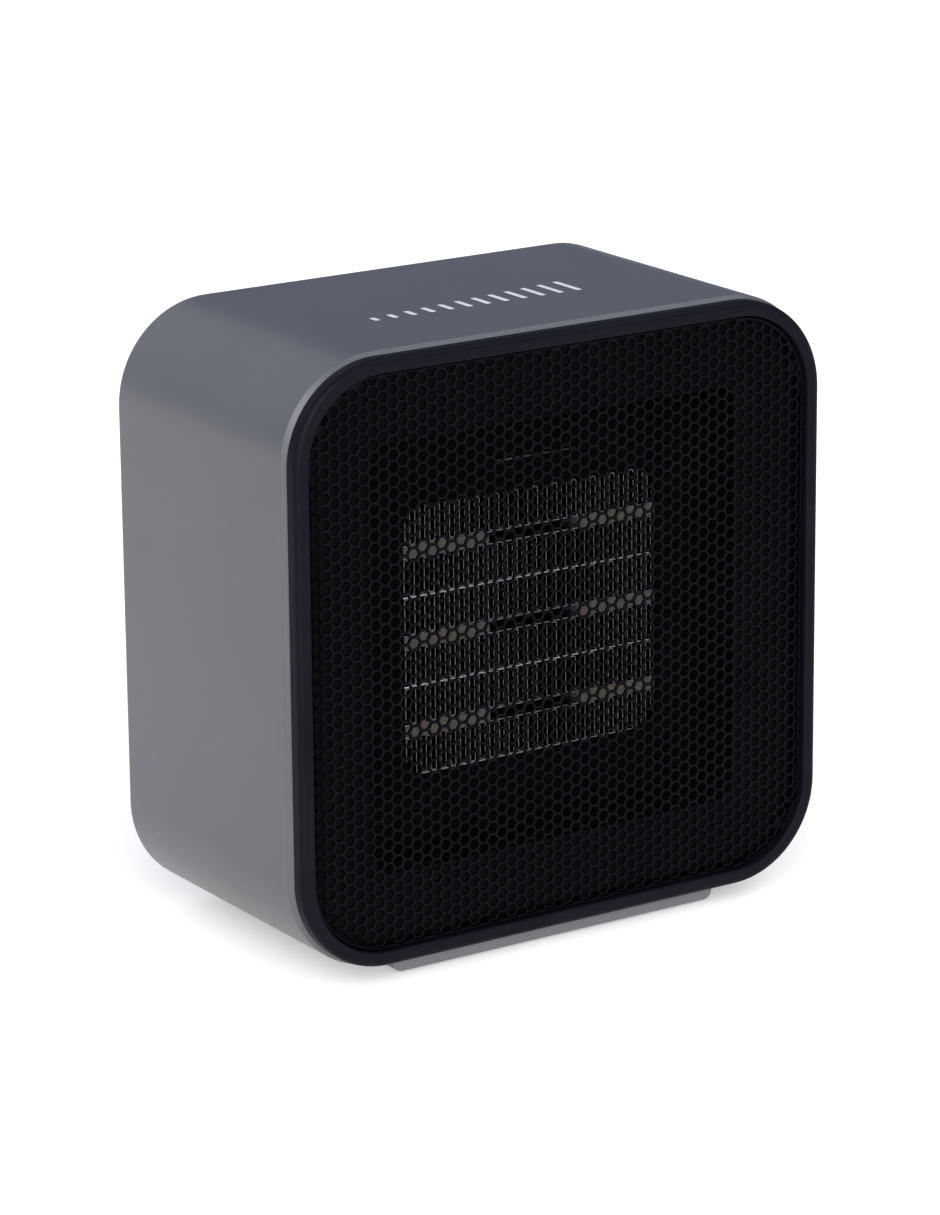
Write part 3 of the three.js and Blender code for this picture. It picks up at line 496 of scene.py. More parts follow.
# A rounded rectangle swept round a closed profile of (inset, distance along Y)
def sweptRing(width, height, corner, profile, steps):
    loops = []
    for inset, y in profile:
        radius = max(corner - inset, smallestCorner)
        outline = roundedOutline(width - 2 * inset, height - 2 * inset, radius, steps=steps)
        loops.append(standing(outline, y))
    return loft(loops, closed=True)


# A turned piece. The profile is (radius, distance along the axis), ending on the axis or closed.
def turned(profile, centre, axis="Y", sides=48, closed=False):
    points = []
    rows = []
    for radius, along in profile:
        row = []
        for side in range(1 if radius < onAxis else sides):
            angle = 2 * math.pi * side / sides
            u, v = centre[0] + radius * math.cos(angle), centre[1] + radius * math.sin(angle)
            row.append(len(points))
            points.append((u, along, v) if axis == "Y" else (u, v, along))
        rows.append(row)
    faces = []
    pairs = list(zip(rows, rows[1:]))
    if closed:
        pairs.append((rows[-1], rows[0]))
    for first, second in pairs:
        for side in range(sides):
            after = (side + 1) % sides
            quad = [first[side % len(first)], first[after % len(first)],
                    second[after % len(second)], second[side % len(second)]]
            corners = list(dict.fromkeys(quad))
            if len(corners) > 2:
                faces.append(tuple(corners))
    return meshOf(points, faces)


def rod(centre, radius, start, end, axis="Y", sides=48):
    return turned([(0, start), (radius, start), (radius, end), (0, end)], centre, axis, sides)


# The object's mesh after its modifiers. The object itself goes.
def evaluated(draft):
    bpy.context.view_layer.update()
    mesh = bpy.data.meshes.new_from_object(draft.evaluated_get(bpy.context.evaluated_depsgraph_get()))
    bpy.data.objects.remove(draft)
    return mesh


# A flat plate between two distances along Y, with holes and rounded edges everywhere
def plate(outlines, fromY, toY, edge):
    curve = bpy.data.curves.new("draft", "CURVE")
    curve.dimensions = "2D"
    curve.fill_mode = "BOTH"
    curve.extrude = (toY - fromY) / 2 - edge
    curve.bevel_depth = edge
    curve.bevel_resolution = 1
    curve.offset = -edge
    for outline in outlines:
        spline = curve.splines.new("POLY")
        spline.points.add(len(outline) - 1)
        for point, (x, z) in zip(spline.points, outline):
            point.co = (x, z, 0, 1)
        spline.use_cyclic_u = True
    mesh = evaluated(addObject("draft", curve))
    mesh.transform(Matrix.Translation((0, (fromY + toY) / 2, 0)) @ Matrix.Rotation(math.pi / 2, 4, "X"))
    return mesh


def box(low, high):
    corners = [(x, y, z) for x in (low[0], high[0]) for y in (low[1], high[1]) for z in (low[2], high[2])]
    faces = [(0, 1, 3, 2), (4, 6, 7, 5), (0, 4, 5, 1), (2, 3, 7, 6), (0, 2, 6, 4), (1, 5, 7, 3)]
    return meshOf(corners, faces)


# Joins or cuts closed meshes
def combine(mesh, others, operation="UNION"):
    base = addObject("draft", welded(mesh))
    helpers = [addObject("helper", welded(other)) for other in others]
    for helper in helpers:
        step = base.modifiers.new("step", "BOOLEAN")
        step.operation = operation
        step.object = helper
        step.solver = "EXACT"
    result = evaluated(base)
    for helper in helpers:
        bpy.data.objects.remove(helper)
    return result


# A worked-up copy of a CAD node: flat faces made whole, then every sharp edge rounded
def workedCopy(node, edge, segments):
    mesh = frame["nodes"][node].data.copy()
    work = bmesh.new()
    work.from_mesh(mesh)
    bmesh.ops.remove_doubles(work, verts=work.verts, dist=cadWeldReach)
    bmesh.ops.dissolve_limit(
        work, angle_limit=flatAngle, use_dissolve_boundaries=False, verts=work.verts, edges=work.edges
    )
    sharp = [e for e in work.edges if len(e.link_faces) == 2 and e.calc_face_angle(0) > sharpFrom]
    bmesh.ops.bevel(
        work, geom=sharp, offset=edge, offset_type="OFFSET", segments=segments, profile=0.5,
        affect="EDGES", clamp_overlap=True,
    )
    bmesh.ops.triangulate(work, faces=[f for f in work.faces if len(f.verts) > 4])
    work.to_mesh(mesh)
    work.free()
    return mesh


def bodyOf(node):
    return frame["nodes"][node]["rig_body"]


def slotOf(node):
    return next(s["material_slot"] for s in frame["record"]["subparts"] if s["node"] == node)


def workUp(node, edge, segments=2, finish=None):
    mesh, slot = workedCopy(node, edge, segments), slotOf(node)
    place(node + "_worked", mesh, finish or slot, bodyOf(node), [node])


mainBody = bodyOf("casing_sleeve")
caseSteps = {"corner": 24, "edge": 7}

# Casing sleeve
sleeve = {
    "wall": 2.2 * mm,
    "corner": 24.5 * mm,
    "bevel": 1.45 * mm,
    "bevelRound": 0.5 * mm,
    "outerRound": 1.9 * mm,
    "innerRound": 0.4 * mm,
}


def makeSleeve():
    width = caseHigh.x - caseLow.x - topMark["thickness"]
    height = caseHigh.z - caseLow.z - topMark["thickness"]
    front, rear, wall = caseLow.y, caseHigh.y, sleeve["wall"]
    profile = filleted([
        (sleeve["bevel"], front, sleeve["bevelRound"]),
        (0, front + sleeve["bevel"], sleeve["bevelRound"]),
        (0, rear, sleeve["outerRound"]),
        (wall, rear, sleeve["innerRound"]),
        (wall, front, sleeve["innerRound"]),
    ], caseSteps["edge"])
    shell = sweptRing(width, height, sleeve["corner"], profile, caseSteps["corner"])
    plungerLow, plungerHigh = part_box("tip_plunger")
    radius = (plungerHigh.x - plungerLow.x) / 2
    middleY = (plungerLow.y + plungerHigh.y) / 2
    below, above = caseLow.z - mm, caseLow.z + wall + mm
    cuts = [rod((0, middleY), radius, below, above, "Z")]
    for side in (-1, 1):
        y = side * foot["hookFromMiddle"]
        half = foot["hookWidth"] / 2 + foot["hookGap"]
        cuts.append(box((-half, y - foot["hookBefore"], below), (half, y + foot["hookAfter"], above)))
    mesh = combine(shell, cuts, "DIFFERENCE")
    place("casing_shell", mesh, "casing_paint", mainBody, ["casing_sleeve"])


# The foot's two hooks reach through the casing's floor
foot = {
    "hookFromMiddle": 28 * mm,
    "hookWidth": 10 * mm,
    "hookGap": 0.3 * mm,
    "hookBefore": 1.3 * mm,
    "hookAfter": 2.3 * mm,
    "edge": 0.35 * mm,
}

# A plain scale of rising bars, laid on the top of the casing
topMark = {
    "bars": 12,
    "spacing": 5.2 * mm,
    "barWidth": 1.5 * mm,
    "cornerShare": 0.3,
    "shortest": 3 * mm,
    "rise": 0.7 * mm,
    "start": (-32 * mm, -9 * mm),
    "thickness": 0.03 * mm,
    "edgeShare": 0.125,
}


def makeTopMark():
    width, thickness = topMark["barWidth"], topMark["thickness"]
    swapYAndZ = Matrix(((1, 0, 0, 0), (0, 0, 1, 0), (0, 1, 0, 0), (0, 0, 0, 1)))
    for number in range(topMark["bars"]):
        length = topMark["shortest"] + number * topMark["rise"]
        x = topMark["start"][0] + number * topMark["spacing"]
        middle = (x, topMark["start"][1] + length / 2)
        outline = roundedOutline(width, length, width * topMark["cornerShare"], middle, 4)
        mesh = plate([outline], caseHigh.z - thickness, caseHigh.z, thickness * topMark["edgeShare"])
        mesh.transform(swapYAndZ)
        place(f"heat_scale_{number + 1}", mesh, "paper_mark", mainBody)


# Front ring: a rounded face, a small step down to the grille and a skirt inside the casing
ring = {
    "face": 3.6 * mm,
    "corner": 23.7 * mm,
    "outerRound": 1.7 * mm,
    "innerRound": 0.6 * mm,
    "seat": 1.7 * mm,
    "seatRound": 0.2 * mm,
    "skirtRound": 0.3 * mm,
    "gap": 0.1 * mm,
}


def makeRing():
    low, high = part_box("front_bezel")
    seatY = caseLow.y - ring["gap"]
    profile = filleted([
        (0, seatY, ring["seatRound"]),
        (0, low.y, ring["outerRound"]),
        (ring["face"], low.y, ring["innerRound"]),
        (ring["face"], high.y, ring["skirtRound"]),
        (ring["seat"], high.y, ring["skirtRound"]),
        (ring["seat"], seatY, 0),
    ], caseSteps["edge"])
    mesh = sweptRing(*sizeOf("front_bezel"), ring["corner"], profile, caseSteps["corner"])
    place("front_ring", mesh, "black_plastic", mainBody, ["front_bezel"])


# Honeycomb sheet with a folded-back rim
grille = {
    "pitch": 3.07 * mm,
    "hole": 2.52 * mm,  # across flats
    "bevel": 0.1 * mm,
    "sheet": 0.8 * mm,
    "corner": 19.7 * mm,
    "margin": 0.15 * mm,
    "fold": 0.4 * mm,
    "aside": 0.85 * mm,  # where the pattern falls on the sheet
    "raise": 0.8 * mm,
    "smallest": 0.7 * mm * mm,
    "sameArea": 1e-9,
    "shortestEdge": 0.12 * mm,
    "rimFrontRound": 0.45 * mm,
    "rimEndRound": 0.2 * mm,
    "sharpAngle": 25,
}


def hexagon(x, z, acrossFlats):
    radius, sixth = acrossFlats / math.sqrt(3), math.pi / 3
    return [(x + radius * math.cos(k * sixth), z + radius * math.sin(k * sixth)) for k in range(6)]


def grilleCentres(width, height):
    columnPitch = grille["pitch"] * math.sqrt(3) / 2
    columns = int(width / 2 / columnPitch) + 2
    rows = int(height / 2 / grille["pitch"]) + 2
    for column in range(-columns, columns + 1):
        for row in range(-rows, rows + 1):
            x = column * columnPitch + grille["aside"]
            yield x, middleZ + (row + 0.5 * (column % 2)) * grille["pitch"] + grille["raise"]


def onLeft(a, b, p):
    return (b[0] - a[0]) * (p[1] - a[1]) - (b[1] - a[1]) * (p[0] - a[0])


# What is left of a polygon inside an outline that bulges everywhere
def clipped(polygon, outline):
    for a, b in zip(outline, outline[1:] + outline[:1]):
        kept = []
        for p, q in zip(polygon, polygon[1:] + polygon[:1]):
            sideP, sideQ = onLeft(a, b, p), onLeft(a, b, q)
            if sideP >= 0:
                kept.append(p)
            if (sideP < 0) != (sideQ < 0):
                share = sideP / (sideP - sideQ)
                kept.append((p[0] + (q[0] - p[0]) * share, p[1] + (q[1] - p[1]) * share))
        polygon = kept
        if not polygon:
            break
    return polygon


def areaOf(polygon):
    return sum(p[0] * q[1] - q[0] * p[1] for p, q in zip(polygon, polygon[1:] + polygon[:1])) / 2


def withoutShortEdges(polygon, shortest):
    kept = []
    for p in polygon:
        if not kept or math.dist(p, kept[-1]) > shortest:
            kept.append(p)
    while len(kept) > 3 and math.dist(kept[0], kept[-1]) <= shortest:
        kept.pop()
    return kept


def grown(polygon, distance):
    result = []
    for k, here in enumerate(polygon):
        before, after = Vector(polygon[k - 1]), Vector(polygon[(k + 1) % len(polygon)])
        here = Vector(here)
        first, second = (here - before).normalized(), (after - here).normalized()
        normals = Vector((first.y, -first.x)), Vector((second.y, -second.x))
        out = (normals[0] + normals[1]) / max(1 + normals[0].dot(normals[1]), mitreLimit)
        result.append(tuple(here + out * distance))
    return result


class SharedPoints:
    def __init__(self):
        self.points = []
        self.known = {}

    def add(self, x, y, z):
        key = (round(x / mm, 3), round(y / mm, 3), round(z / mm, 3))
        if key not in self.known:
            self.known[key] = len(self.points)
            self.points.append((x, y, z))
        return self.known[key]


def borderLoops(edges):
    follow = {a: b for a, b in edges}
    loops = []
    while follow:
        start, here = follow.popitem()
        loop = [start]
        while here != start:
            loop.append(here)
            here = follow.pop(here)
        loops.append(loop)
    return loops


def addWalls(faces, rims):
    for first, second in zip(rims, rims[1:]):
        for k in range(len(first)):
            n = (k + 1) % len(first)
            corners = tuple(dict.fromkeys((first[k], first[n], second[n], second[k])))
            if len(corners) > 2:
                faces.append(corners)


def makeGrille():
    low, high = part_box("front_grille")
    width, height = sizeOf("front_grille")
    front, back, rimEnd = low.y, low.y + grille["sheet"], high.y

    def outlineAt(inset):
        return roundedOutline(width - 2 * inset, height - 2 * inset, grille["corner"] - inset)

    limit = outlineAt(grille["margin"] + grille["fold"])
    store = SharedPoints()
    faces, edgeUse, cutHoles = [], {}, []
    whole = 0
    for x, z in grilleCentres(width, height):
        wide = hexagon(x, z, grille["pitch"])
        kept = clipped(wide, limit)
        hole = hexagon(x, z, grille["hole"])
        if abs(areaOf(kept) - areaOf(wide)) > grille["sameArea"]:
            part = withoutShortEdges(clipped(hole, limit), grille["shortestEdge"])
            if len(part) > 2 and areaOf(part) > grille["smallest"]:
                cutHoles.append(part)
            continue
        whole += 1
        mouth = hexagon(x, z, grille["hole"] + 2 * grille["bevel"])
        steps = [(wide, front), (mouth, front), (hole, front + grille["bevel"]), (hole, back), (wide, back)]
        rims = [[store.add(px, y, pz) for px, pz in outline] for outline, y in steps]
        addWalls(faces, rims)
        for k in range(6):
            a, b = rims[0][k], rims[0][(k + 1) % 6]
            if edgeUse.pop((b, a), None) is None:
                edgeUse[(a, b)] = True
    inner = [(store.points[i][0], store.points[i][2]) for i in max(borderLoops(edgeUse), key=len)]
    mouths = [grown(part, grille["bevel"]) for part in cutHoles]
    for part, mouth in zip(cutHoles, mouths):
        steps = [(mouth, front), (part, front + grille["bevel"]), (part, back)]
        addWalls(faces, [[store.add(px, y, pz) for px, pz in outline] for outline, y in steps])
    for inset, holes, y in ((grille["fold"], mouths, front), (grille["sheet"], cutHoles, back)):
        outlines = [outlineAt(inset), inner, *holes]
        ids = [store.add(px, y, pz) for outline in outlines for px, pz in outline]
        polygons = [[Vector((px, pz, 0)) for px, pz in outline] for outline in outlines]
        faces += [tuple(ids[i] for i in triangle) for triangle in tessellate_polygon(polygons)]
    rim = filleted([
        (grille["fold"], front, 0),
        (0, front, grille["rimFrontRound"]),
        (0, rimEnd, grille["rimEndRound"]),
        (grille["sheet"], rimEnd, grille["rimEndRound"]),
        (grille["sheet"], back, 0),
    ], 4)
    addWalls(faces, [[store.add(px, y, pz) for px, pz in outlineAt(inset)] for inset, y in rim])
    mesh = meshOf(store.points, faces)
    place("honeycomb_grille", mesh, "grille_steel", mainBody, ["front_grille"], grille["sharpAngle"])
    print("grille holes:", whole, "whole,", len(cutHoles), "cut by the edge")


# Moulded frame: flat border, straight duct, four posts
frameMould = {
    "border": 2 * mm,
    "corner": 19.8 * mm,
    "recessCorner": 5 * mm,
    "wall": 1.6 * mm,
    "edge": 0.3 * mm,
    "mouthRound": 0.6 * mm,
    "mouthBend": 0.3,
    "plateRoom": 0.6 * mm,
    "shroudGap": 0.3 * mm,
    "postRadius": 4 * mm,
    "pilotRadius": 1.6 * mm,
    "pilotDepth": 14 * mm,
}


def screwPlaces():
    return [middleOf(f"cover_screw_{number}") for number in range(1, 5)]


def makeFrameMould():
    low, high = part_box("front_frame")
    shroudLow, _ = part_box("fan_shroud")
    outer = (*sizeOf("front_frame"), frameMould["corner"])
    recess = [side + frameMould["plateRoom"] for side in sizeOf("element_plate")]
    recess.append(frameMould["recessCorner"])
    front, borderBack = low.y, low.y + frameMould["border"]
    ductEnd = shroudLow.y - frameMould["shroudGap"]
    wall, edge, lip = frameMould["wall"], frameMould["edge"], frameMould["mouthRound"]
    bend = lip * frameMould["mouthBend"]
    stations = [
        (outer, 0, borderBack), (outer, 0, front + edge), (outer, -edge, front),
        (recess, lip, front), (recess, bend, front + bend), (recess, 0, front + lip),
        (recess, 0, ductEnd), (recess, wall, ductEnd), (recess, wall, borderBack),
    ]
    mould = loft([
        standing(roundedOutline(width + 2 * out, height + 2 * out, corner + out), y)
        for (width, height, corner), out, y in stations
    ], closed=True)
    start, end = borderBack - mm, high.y
    bottom = end - frameMould["pilotDepth"]
    posts = [rod(spot, frameMould["postRadius"], start, end) for spot in screwPlaces()]
    pilots = [rod(spot, frameMould["pilotRadius"], bottom, end + mm, sides=24) for spot in screwPlaces()]
    mesh = combine(combine(mould, posts), pilots, "DIFFERENCE")
    place("front_mould", mesh, "frame_plastic", mainBody, ["front_frame"])


# Black steel plate round the element, with the slot for the cut-out's strap; toned darker than its own black
# as painted shade in the recess
elementPlate = {
    "corner": 4.7 * mm,
    "opening": (72.6 * mm, 66 * mm),
    "openingAside": -1 * mm,
    "openingCorner": 6.2 * mm,
    "slotGap": 0.3 * mm,
    "slotCornerShare": 0.49,
    "edge": 0.12 * mm,
}


def makeElementPlate():
    low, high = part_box("element_plate")
    slotWidth, slotHeight = (side + 2 * elementPlate["slotGap"] for side in sizeOf("cutout_bracket"))
    slotMiddle = (0, middleOf("cutout_bracket")[1])
    slotCorner = slotHeight * elementPlate["slotCornerShare"]
    openingMiddle = (elementPlate["openingAside"], middleZ)
    outlines = [
        roundedOutline(*sizeOf("element_plate"), elementPlate["corner"]),
        roundedOutline(*elementPlate["opening"], elementPlate["openingCorner"], openingMiddle),
        roundedOutline(slotWidth, slotHeight, slotCorner, slotMiddle, 5),
    ]
    mesh = plate(outlines, low.y, high.y, elementPlate["edge"])
    place("element_surround", mesh, "plate_steel", mainBody, ["element_plate"])


# Corrugated fins: a ribbon of foil with round folds, a little uneven as it is crimped
fins = {
    "pitch": 1.385 * mm,
    "foil": 0.18 * mm,
    "foldRadius": 0.34 * mm,
    "foldSteps": 3,
    "bow": 0.08 * mm,
    "bowShares": (0, 0.3, 0.7, 1),
    "shift": (-0.4 * mm, 0.15 * mm),
    "sharpAngle": 50,
    "seed": 7,
}


def ribbonLine(low, high, wobble):
    legs = int((high.x - low.x - fins["foil"]) / fins["pitch"])
    shift = wobble.uniform(*fins["shift"])
    firstX = (low.x + high.x) / 2 - (legs - 1) * fins["pitch"] / 2 + shift
    radius, steps = fins["foldRadius"], fins["foldSteps"]
    ends = (low.z + fins["foil"] / 2, high.z - fins["foil"] / 2)
    line = []
    for leg in range(legs):
        x = firstX + leg * fins["pitch"]
        goesUp = leg % 2 == 0
        start, end = ends if goesUp else ends[::-1]
        way = 1 if goesUp else -1
        bow = wobble.uniform(-fins["bow"], fins["bow"])
        for share in fins["bowShares"]:
            height = start + way * radius + (end - start - 2 * way * radius) * share
            line.append((x + bow * math.sin(share * math.pi), height))
        if leg < legs - 1:
            quarter, foldHeight = way * math.pi / 2, end - way * radius
            line += list(arc((x + radius, foldHeight), radius, math.pi, math.pi - quarter, steps))[1:]
            line += list(arc((x + fins["pitch"] - radius, foldHeight), radius, quarter, 0, steps))[:-1]
    return line


def makeFin(number, wobble):
    node = f"fin_strip_{number}"
    low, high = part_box(node)
    line = [Vector(p) for p in ribbonLine(low, high, wobble)]
    half = fins["foil"] / 2
    loops = []
    for i, here in enumerate(line):
        ahead = line[min(i + 1, len(line) - 1)] - line[max(i - 1, 0)]
        aside = Vector((-ahead.y, ahead.x)).normalized() * half
        sides = ((1, low.y), (-1, low.y), (-1, high.y), (1, high.y))
        loops.append([(here.x + side * aside.x, y, here.y + side * aside.y) for side, y in sides])
    place(f"fin_ribbon_{number}", loft(loops), "aluminium", mainBody, [node], fins["sharpAngle"])


# The paste that holds a stone between its two strips, squeezed out and smoothed at the front
paste = {
    "depth": 0.25 * mm,
    "reach": 1.62 * mm,
    "between": 1.15 * mm,
    "wave": 0.12 * mm,
    "frontWave": 0.03 * mm,
    "stepLength": 0.5 * mm,
    "endShare": 0.75,
    "endGrowth": 0.12,
    "tuck": 0.02 * mm,
    "shoulder": 0.08 * mm,
    "shoulderShare": 0.97,
    "crownShare": 0.8,
    "sharpAngle": 50,
}


def makePaste(bar, side, wobble):
    low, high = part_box(f"ceramic_stone_{bar}_{side}")
    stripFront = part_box(f"electrode_{bar}_lower")[0].y
    middle = (low.z + high.z) / 2
    front, edge, stoneFront = stripFront - paste["depth"], stripFront - paste["tuck"], low.y
    between, crown, shoulder = paste["between"], paste["crownShare"], paste["shoulderShare"]
    count = int((high.x - low.x) / paste["stepLength"])
    loops = []
    for step in range(count + 1):
        x = low.x + (high.x - low.x) * step / count
        ends = min(step, count - step)
        full = 1 if ends > 1 else paste["endShare"] + paste["endGrowth"] * ends
        top = paste["reach"] * full - wobble.random() * paste["wave"]
        bottom = paste["reach"] * full - wobble.random() * paste["wave"]
        bulge = front + (1 - full) * paste["depth"] + wobble.random() * paste["frontWave"]
        turn = bulge + paste["shoulder"]
        section = [
            (edge, -bottom), (turn, -bottom * shoulder), (bulge, -bottom * crown),
            (bulge, top * crown), (turn, top * shoulder), (edge, top),
            (edge, between), (stoneFront, between), (stoneFront, -between), (edge, -between),
        ]
        loops.append([(x, y, middle + z) for y, z in section])
    place(f"paste_{bar}_{side}", loft(loops), "ceramic", mainBody, sharpAngle=paste["sharpAngle"])


# How far the edges of the element's other pieces are rounded
elementEdges = {
    "stone": 0.28 * mm,
    "strip": 0.08 * mm,
    "plate": 0.1 * mm,
    "holder": 0.3 * mm,
    "strap": 0.12 * mm,
    "cutout": 0.3 * mm,
    "fuse": 0.2 * mm,
}


def makeElement():
    wobble = random.Random(fins["seed"])
    for number in range(1, 7):
        makeFin(number, wobble)
    for bar in (1, 2, 3):
        for side in ("left", "right"):
            workUp(f"ceramic_stone_{bar}_{side}", elementEdges["stone"], 3)
            makePaste(bar, side, wobble)
        for level in ("lower", "upper"):
            workUp(f"electrode_{bar}_{level}", elementEdges["strip"], 1)
    for name in ("spacer_plate_1", "spacer_plate_2", "outer_plate_bottom", "outer_plate_top"):
        workUp(name, elementEdges["plate"], finish="aluminium_strip")
    for side in ("left", "right"):
        workUp(f"element_holder_{side}", elementEdges["holder"])
    workUp("cutout_bracket", elementEdges["strap"], finish="dull_steel")
    workUp("thermal_cutout", elementEdges["cutout"], 3)
    workUp("thermal_fuse", elementEdges["fuse"])


# Impeller: a cup hub with a rounded nose, and seven swept and twisted blades
impeller = {
    "blades": 7,
    "hubRadius": 14 * mm,
    "hubWall": 1.8 * mm,
    "nose": 2.2 * mm,
    "bore": 1.7 * mm,
    "sleeveRadius": 4 * mm,
    "rootPitch": 48,  # degrees
    "tipPitch": 28,
    "sweep": 16,
    "rootChord": 15 * mm,
    "tipChord": 27 * mm,
    "thickness": 1.5 * mm,
    "sections": 9,
    # a section's outline: share of the chord, then share of half the thickness
    "outline": ((-0.5, 0), (-0.3, 0.9), (0, 1), (0.3, 0.75), (0.5, 0), (0.3, -0.75), (0, -1), (-0.3, -0.9)),
    "tipGap": 0.3 * mm,
    "rootSunk": 0.8 * mm,
    "taperFrom": 0.85,  # share of the blade's length
    "taper": 0.9,
    "sweepBend": 1.4,
    "camber": 0.06,
    "faceGap": 0.1 * mm,
    "hubGap": 0.2 * mm,
    "smallRound": 0.2 * mm,
    "hubRearRound": 0.4 * mm,
    "hubInnerRound": 1 * mm,
    "sleeveRootRound": 0.5 * mm,
    "sleeveEndRound": 0.3 * mm,
}


def bladeSection(share, low, high, startAngle):
    tipRadius = (high.z - low.z) / 2 - impeller["tipGap"]
    radius = impeller["hubRadius"] - impeller["rootSunk"] + (tipRadius - impeller["hubRadius"]) * share
    rootChord, tipChord = impeller["rootChord"], impeller["tipChord"]
    chord = rootChord + (tipChord - rootChord) * math.sin(share * math.pi / 2)
    if share > impeller["taperFrom"]:
        chord *= 1 - impeller["taper"] * (share - impeller["taperFrom"])
    pitch = math.radians(impeller["rootPitch"] + (impeller["tipPitch"] - impeller["rootPitch"]) * share)
    turn = startAngle + math.radians(impeller["sweep"]) * share ** impeller["sweepBend"]
    midY = (low.y + high.y) / 2
    section = []
    for along, side in impeller["outline"]:
        camber = impeller["camber"] * chord * (1 - 4 * along * along)
        thick = side * impeller["thickness"] / 2
        around = along * chord * math.cos(pitch) - (thick + camber) * math.sin(pitch)
        axial = along * chord * math.sin(pitch) + (thick + camber) * math.cos(pitch)
        axial = min(max(axial, low.y - midY + impeller["faceGap"]), high.y - midY - impeller["faceGap"])
        angle = turn + around / radius
        section.append((radius * math.cos(angle), midY + axial, middleZ + radius * math.sin(angle)))
    return section


def makeImpeller():
    low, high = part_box("impeller")
    front, rear = low.y + impeller["hubGap"], high.y - impeller["hubGap"]
    wall, hub = impeller["hubWall"], impeller["hubRadius"]
    cup = filleted([
        (impeller["bore"], front, impeller["smallRound"]),
        (hub, front, impeller["nose"]),
        (hub, rear, impeller["hubRearRound"]),
        (hub - wall, rear, impeller["hubRearRound"]),
        (hub - wall, front + wall, impeller["hubInnerRound"]),
        (impeller["sleeveRadius"], front + wall, impeller["sleeveRootRound"]),
        (impeller["sleeveRadius"], rear - wall, impeller["sleeveEndRound"]),
        (impeller["bore"], rear - wall, impeller["smallRound"]),
    ], 4)
    blades = []
    shares = [i / (impeller["sections"] - 1) for i in range(impeller["sections"])]
    for blade in range(impeller["blades"]):
        start = 2 * math.pi * blade / impeller["blades"]
        blades.append(loft([bladeSection(share, low, high, start) for share in shares]))
    mesh = combine(turned(cup, (0, middleZ), sides=56, closed=True), blades)
    place("fan_impeller", mesh, "fan_plastic", bodyOf("impeller"), ["impeller"])


# Motor
coil = {
    "wires": 36,
    "wireSteps": 6,
    "wireBump": 0.16 * mm,
    "corner": 2.5 * mm,
    "innerCorner": 0.3 * mm,
    "gap": 0.3 * mm,
    "limb": 8 * mm,
    "sharpAngle": 60,
}


def makeCoil():
    low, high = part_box("motor_coil")
    statorLow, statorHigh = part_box("motor_stator")
    gap = coil["gap"]
    limbTop = statorLow.z + coil["limb"]
    innerLow, innerHigh = (statorLow.y - gap, statorLow.z - gap), (statorHigh.y + gap, limbTop + gap)
    steps = coil["wires"] * coil["wireSteps"]

    def loop(x, lowCorner, highCorner, inset, corner):
        width, height = highCorner[0] - lowCorner[0] - 2 * inset, highCorner[1] - lowCorner[1] - 2 * inset
        centre = ((lowCorner[0] + highCorner[0]) / 2, (lowCorner[1] + highCorner[1]) / 2)
        return [(x, y, z) for y, z in roundedOutline(width, height, corner, centre, 5)]

    loops = []
    for step in range(steps + 1):
        x = low.x + (high.x - low.x) * step / steps
        inset = coil["wireBump"] * (1 - abs(math.sin(math.pi * coil["wires"] * step / steps)))
        loops.append(loop(x, (low.y, low.z), (high.y, high.z), inset, coil["corner"]))
    loops += [loop(x, innerLow, innerHigh, 0, coil["innerCorner"]) for x in (high.x, low.x)]
    mesh = loft(loops, closed=True)
    place("motor_winding", mesh, "copper", mainBody, ["motor_coil"], coil["sharpAngle"])


def turnedPiece(name, node, profile, axis="Y", sides=48, closed=False):
    low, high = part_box(node)
    centre = middleOf(node) if axis == "Y" else ((low.x + high.x) / 2, (low.y + high.y) / 2)
    place(name, turned(profile, centre, axis, sides, closed), slotOf(node), bodyOf(node), [node])


motor = {
    "statorEdge": 0.15 * mm,
    "bracketEdge": 0.35 * mm,
    "shroudEdge": 0.3 * mm,
    "shaftChamfer": 0.3 * mm,
    "bushBore": 1.68 * mm,
    "bushBoreRound": 0.3 * mm,
    "bushRound": 0.4 * mm,
    "rotorBore": 1.7 * mm,
    "rotorRound": 0.6 * mm,
}


# A round piece with a bore, its edges rounded at the bore and outside
def boredPiece(name, node, bore, boreRound, outerRound, sides=48):
    low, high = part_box(node)
    radius = (high.x - low.x) / 2
    profile = filleted([
        (bore, low.y, boreRound), (radius, low.y, outerRound), (radius, high.y, outerRound),
        (bore, high.y, boreRound),
    ], 3)
    turnedPiece(name, node, profile, sides=sides, closed=True)


def makeMotor():
    makeCoil()
    workUp("motor_stator", motor["statorEdge"])
    for end in ("front", "rear"):
        workUp(f"bearing_bracket_{end}", motor["bracketEdge"])
        node = f"bearing_bush_{end}"
        boredPiece(f"bush_{end}", node, motor["bushBore"], motor["bushBoreRound"], motor["bushRound"])
    low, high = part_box("motor_shaft")
    radius, chamfer = (high.x - low.x) / 2, motor["shaftChamfer"]
    shaft = [(0, low.y), (radius - chamfer, low.y), (radius, low.y + chamfer),
             (radius, high.y - chamfer), (radius - chamfer, high.y), (0, high.y)]
    turnedPiece("rotor_shaft", "motor_shaft", shaft, sides=32)
    boredPiece("rotor_core", "motor_rotor", motor["rotorBore"], 0, motor["rotorRound"], 56)
    workUp("fan_shroud", motor["shroudEdge"])


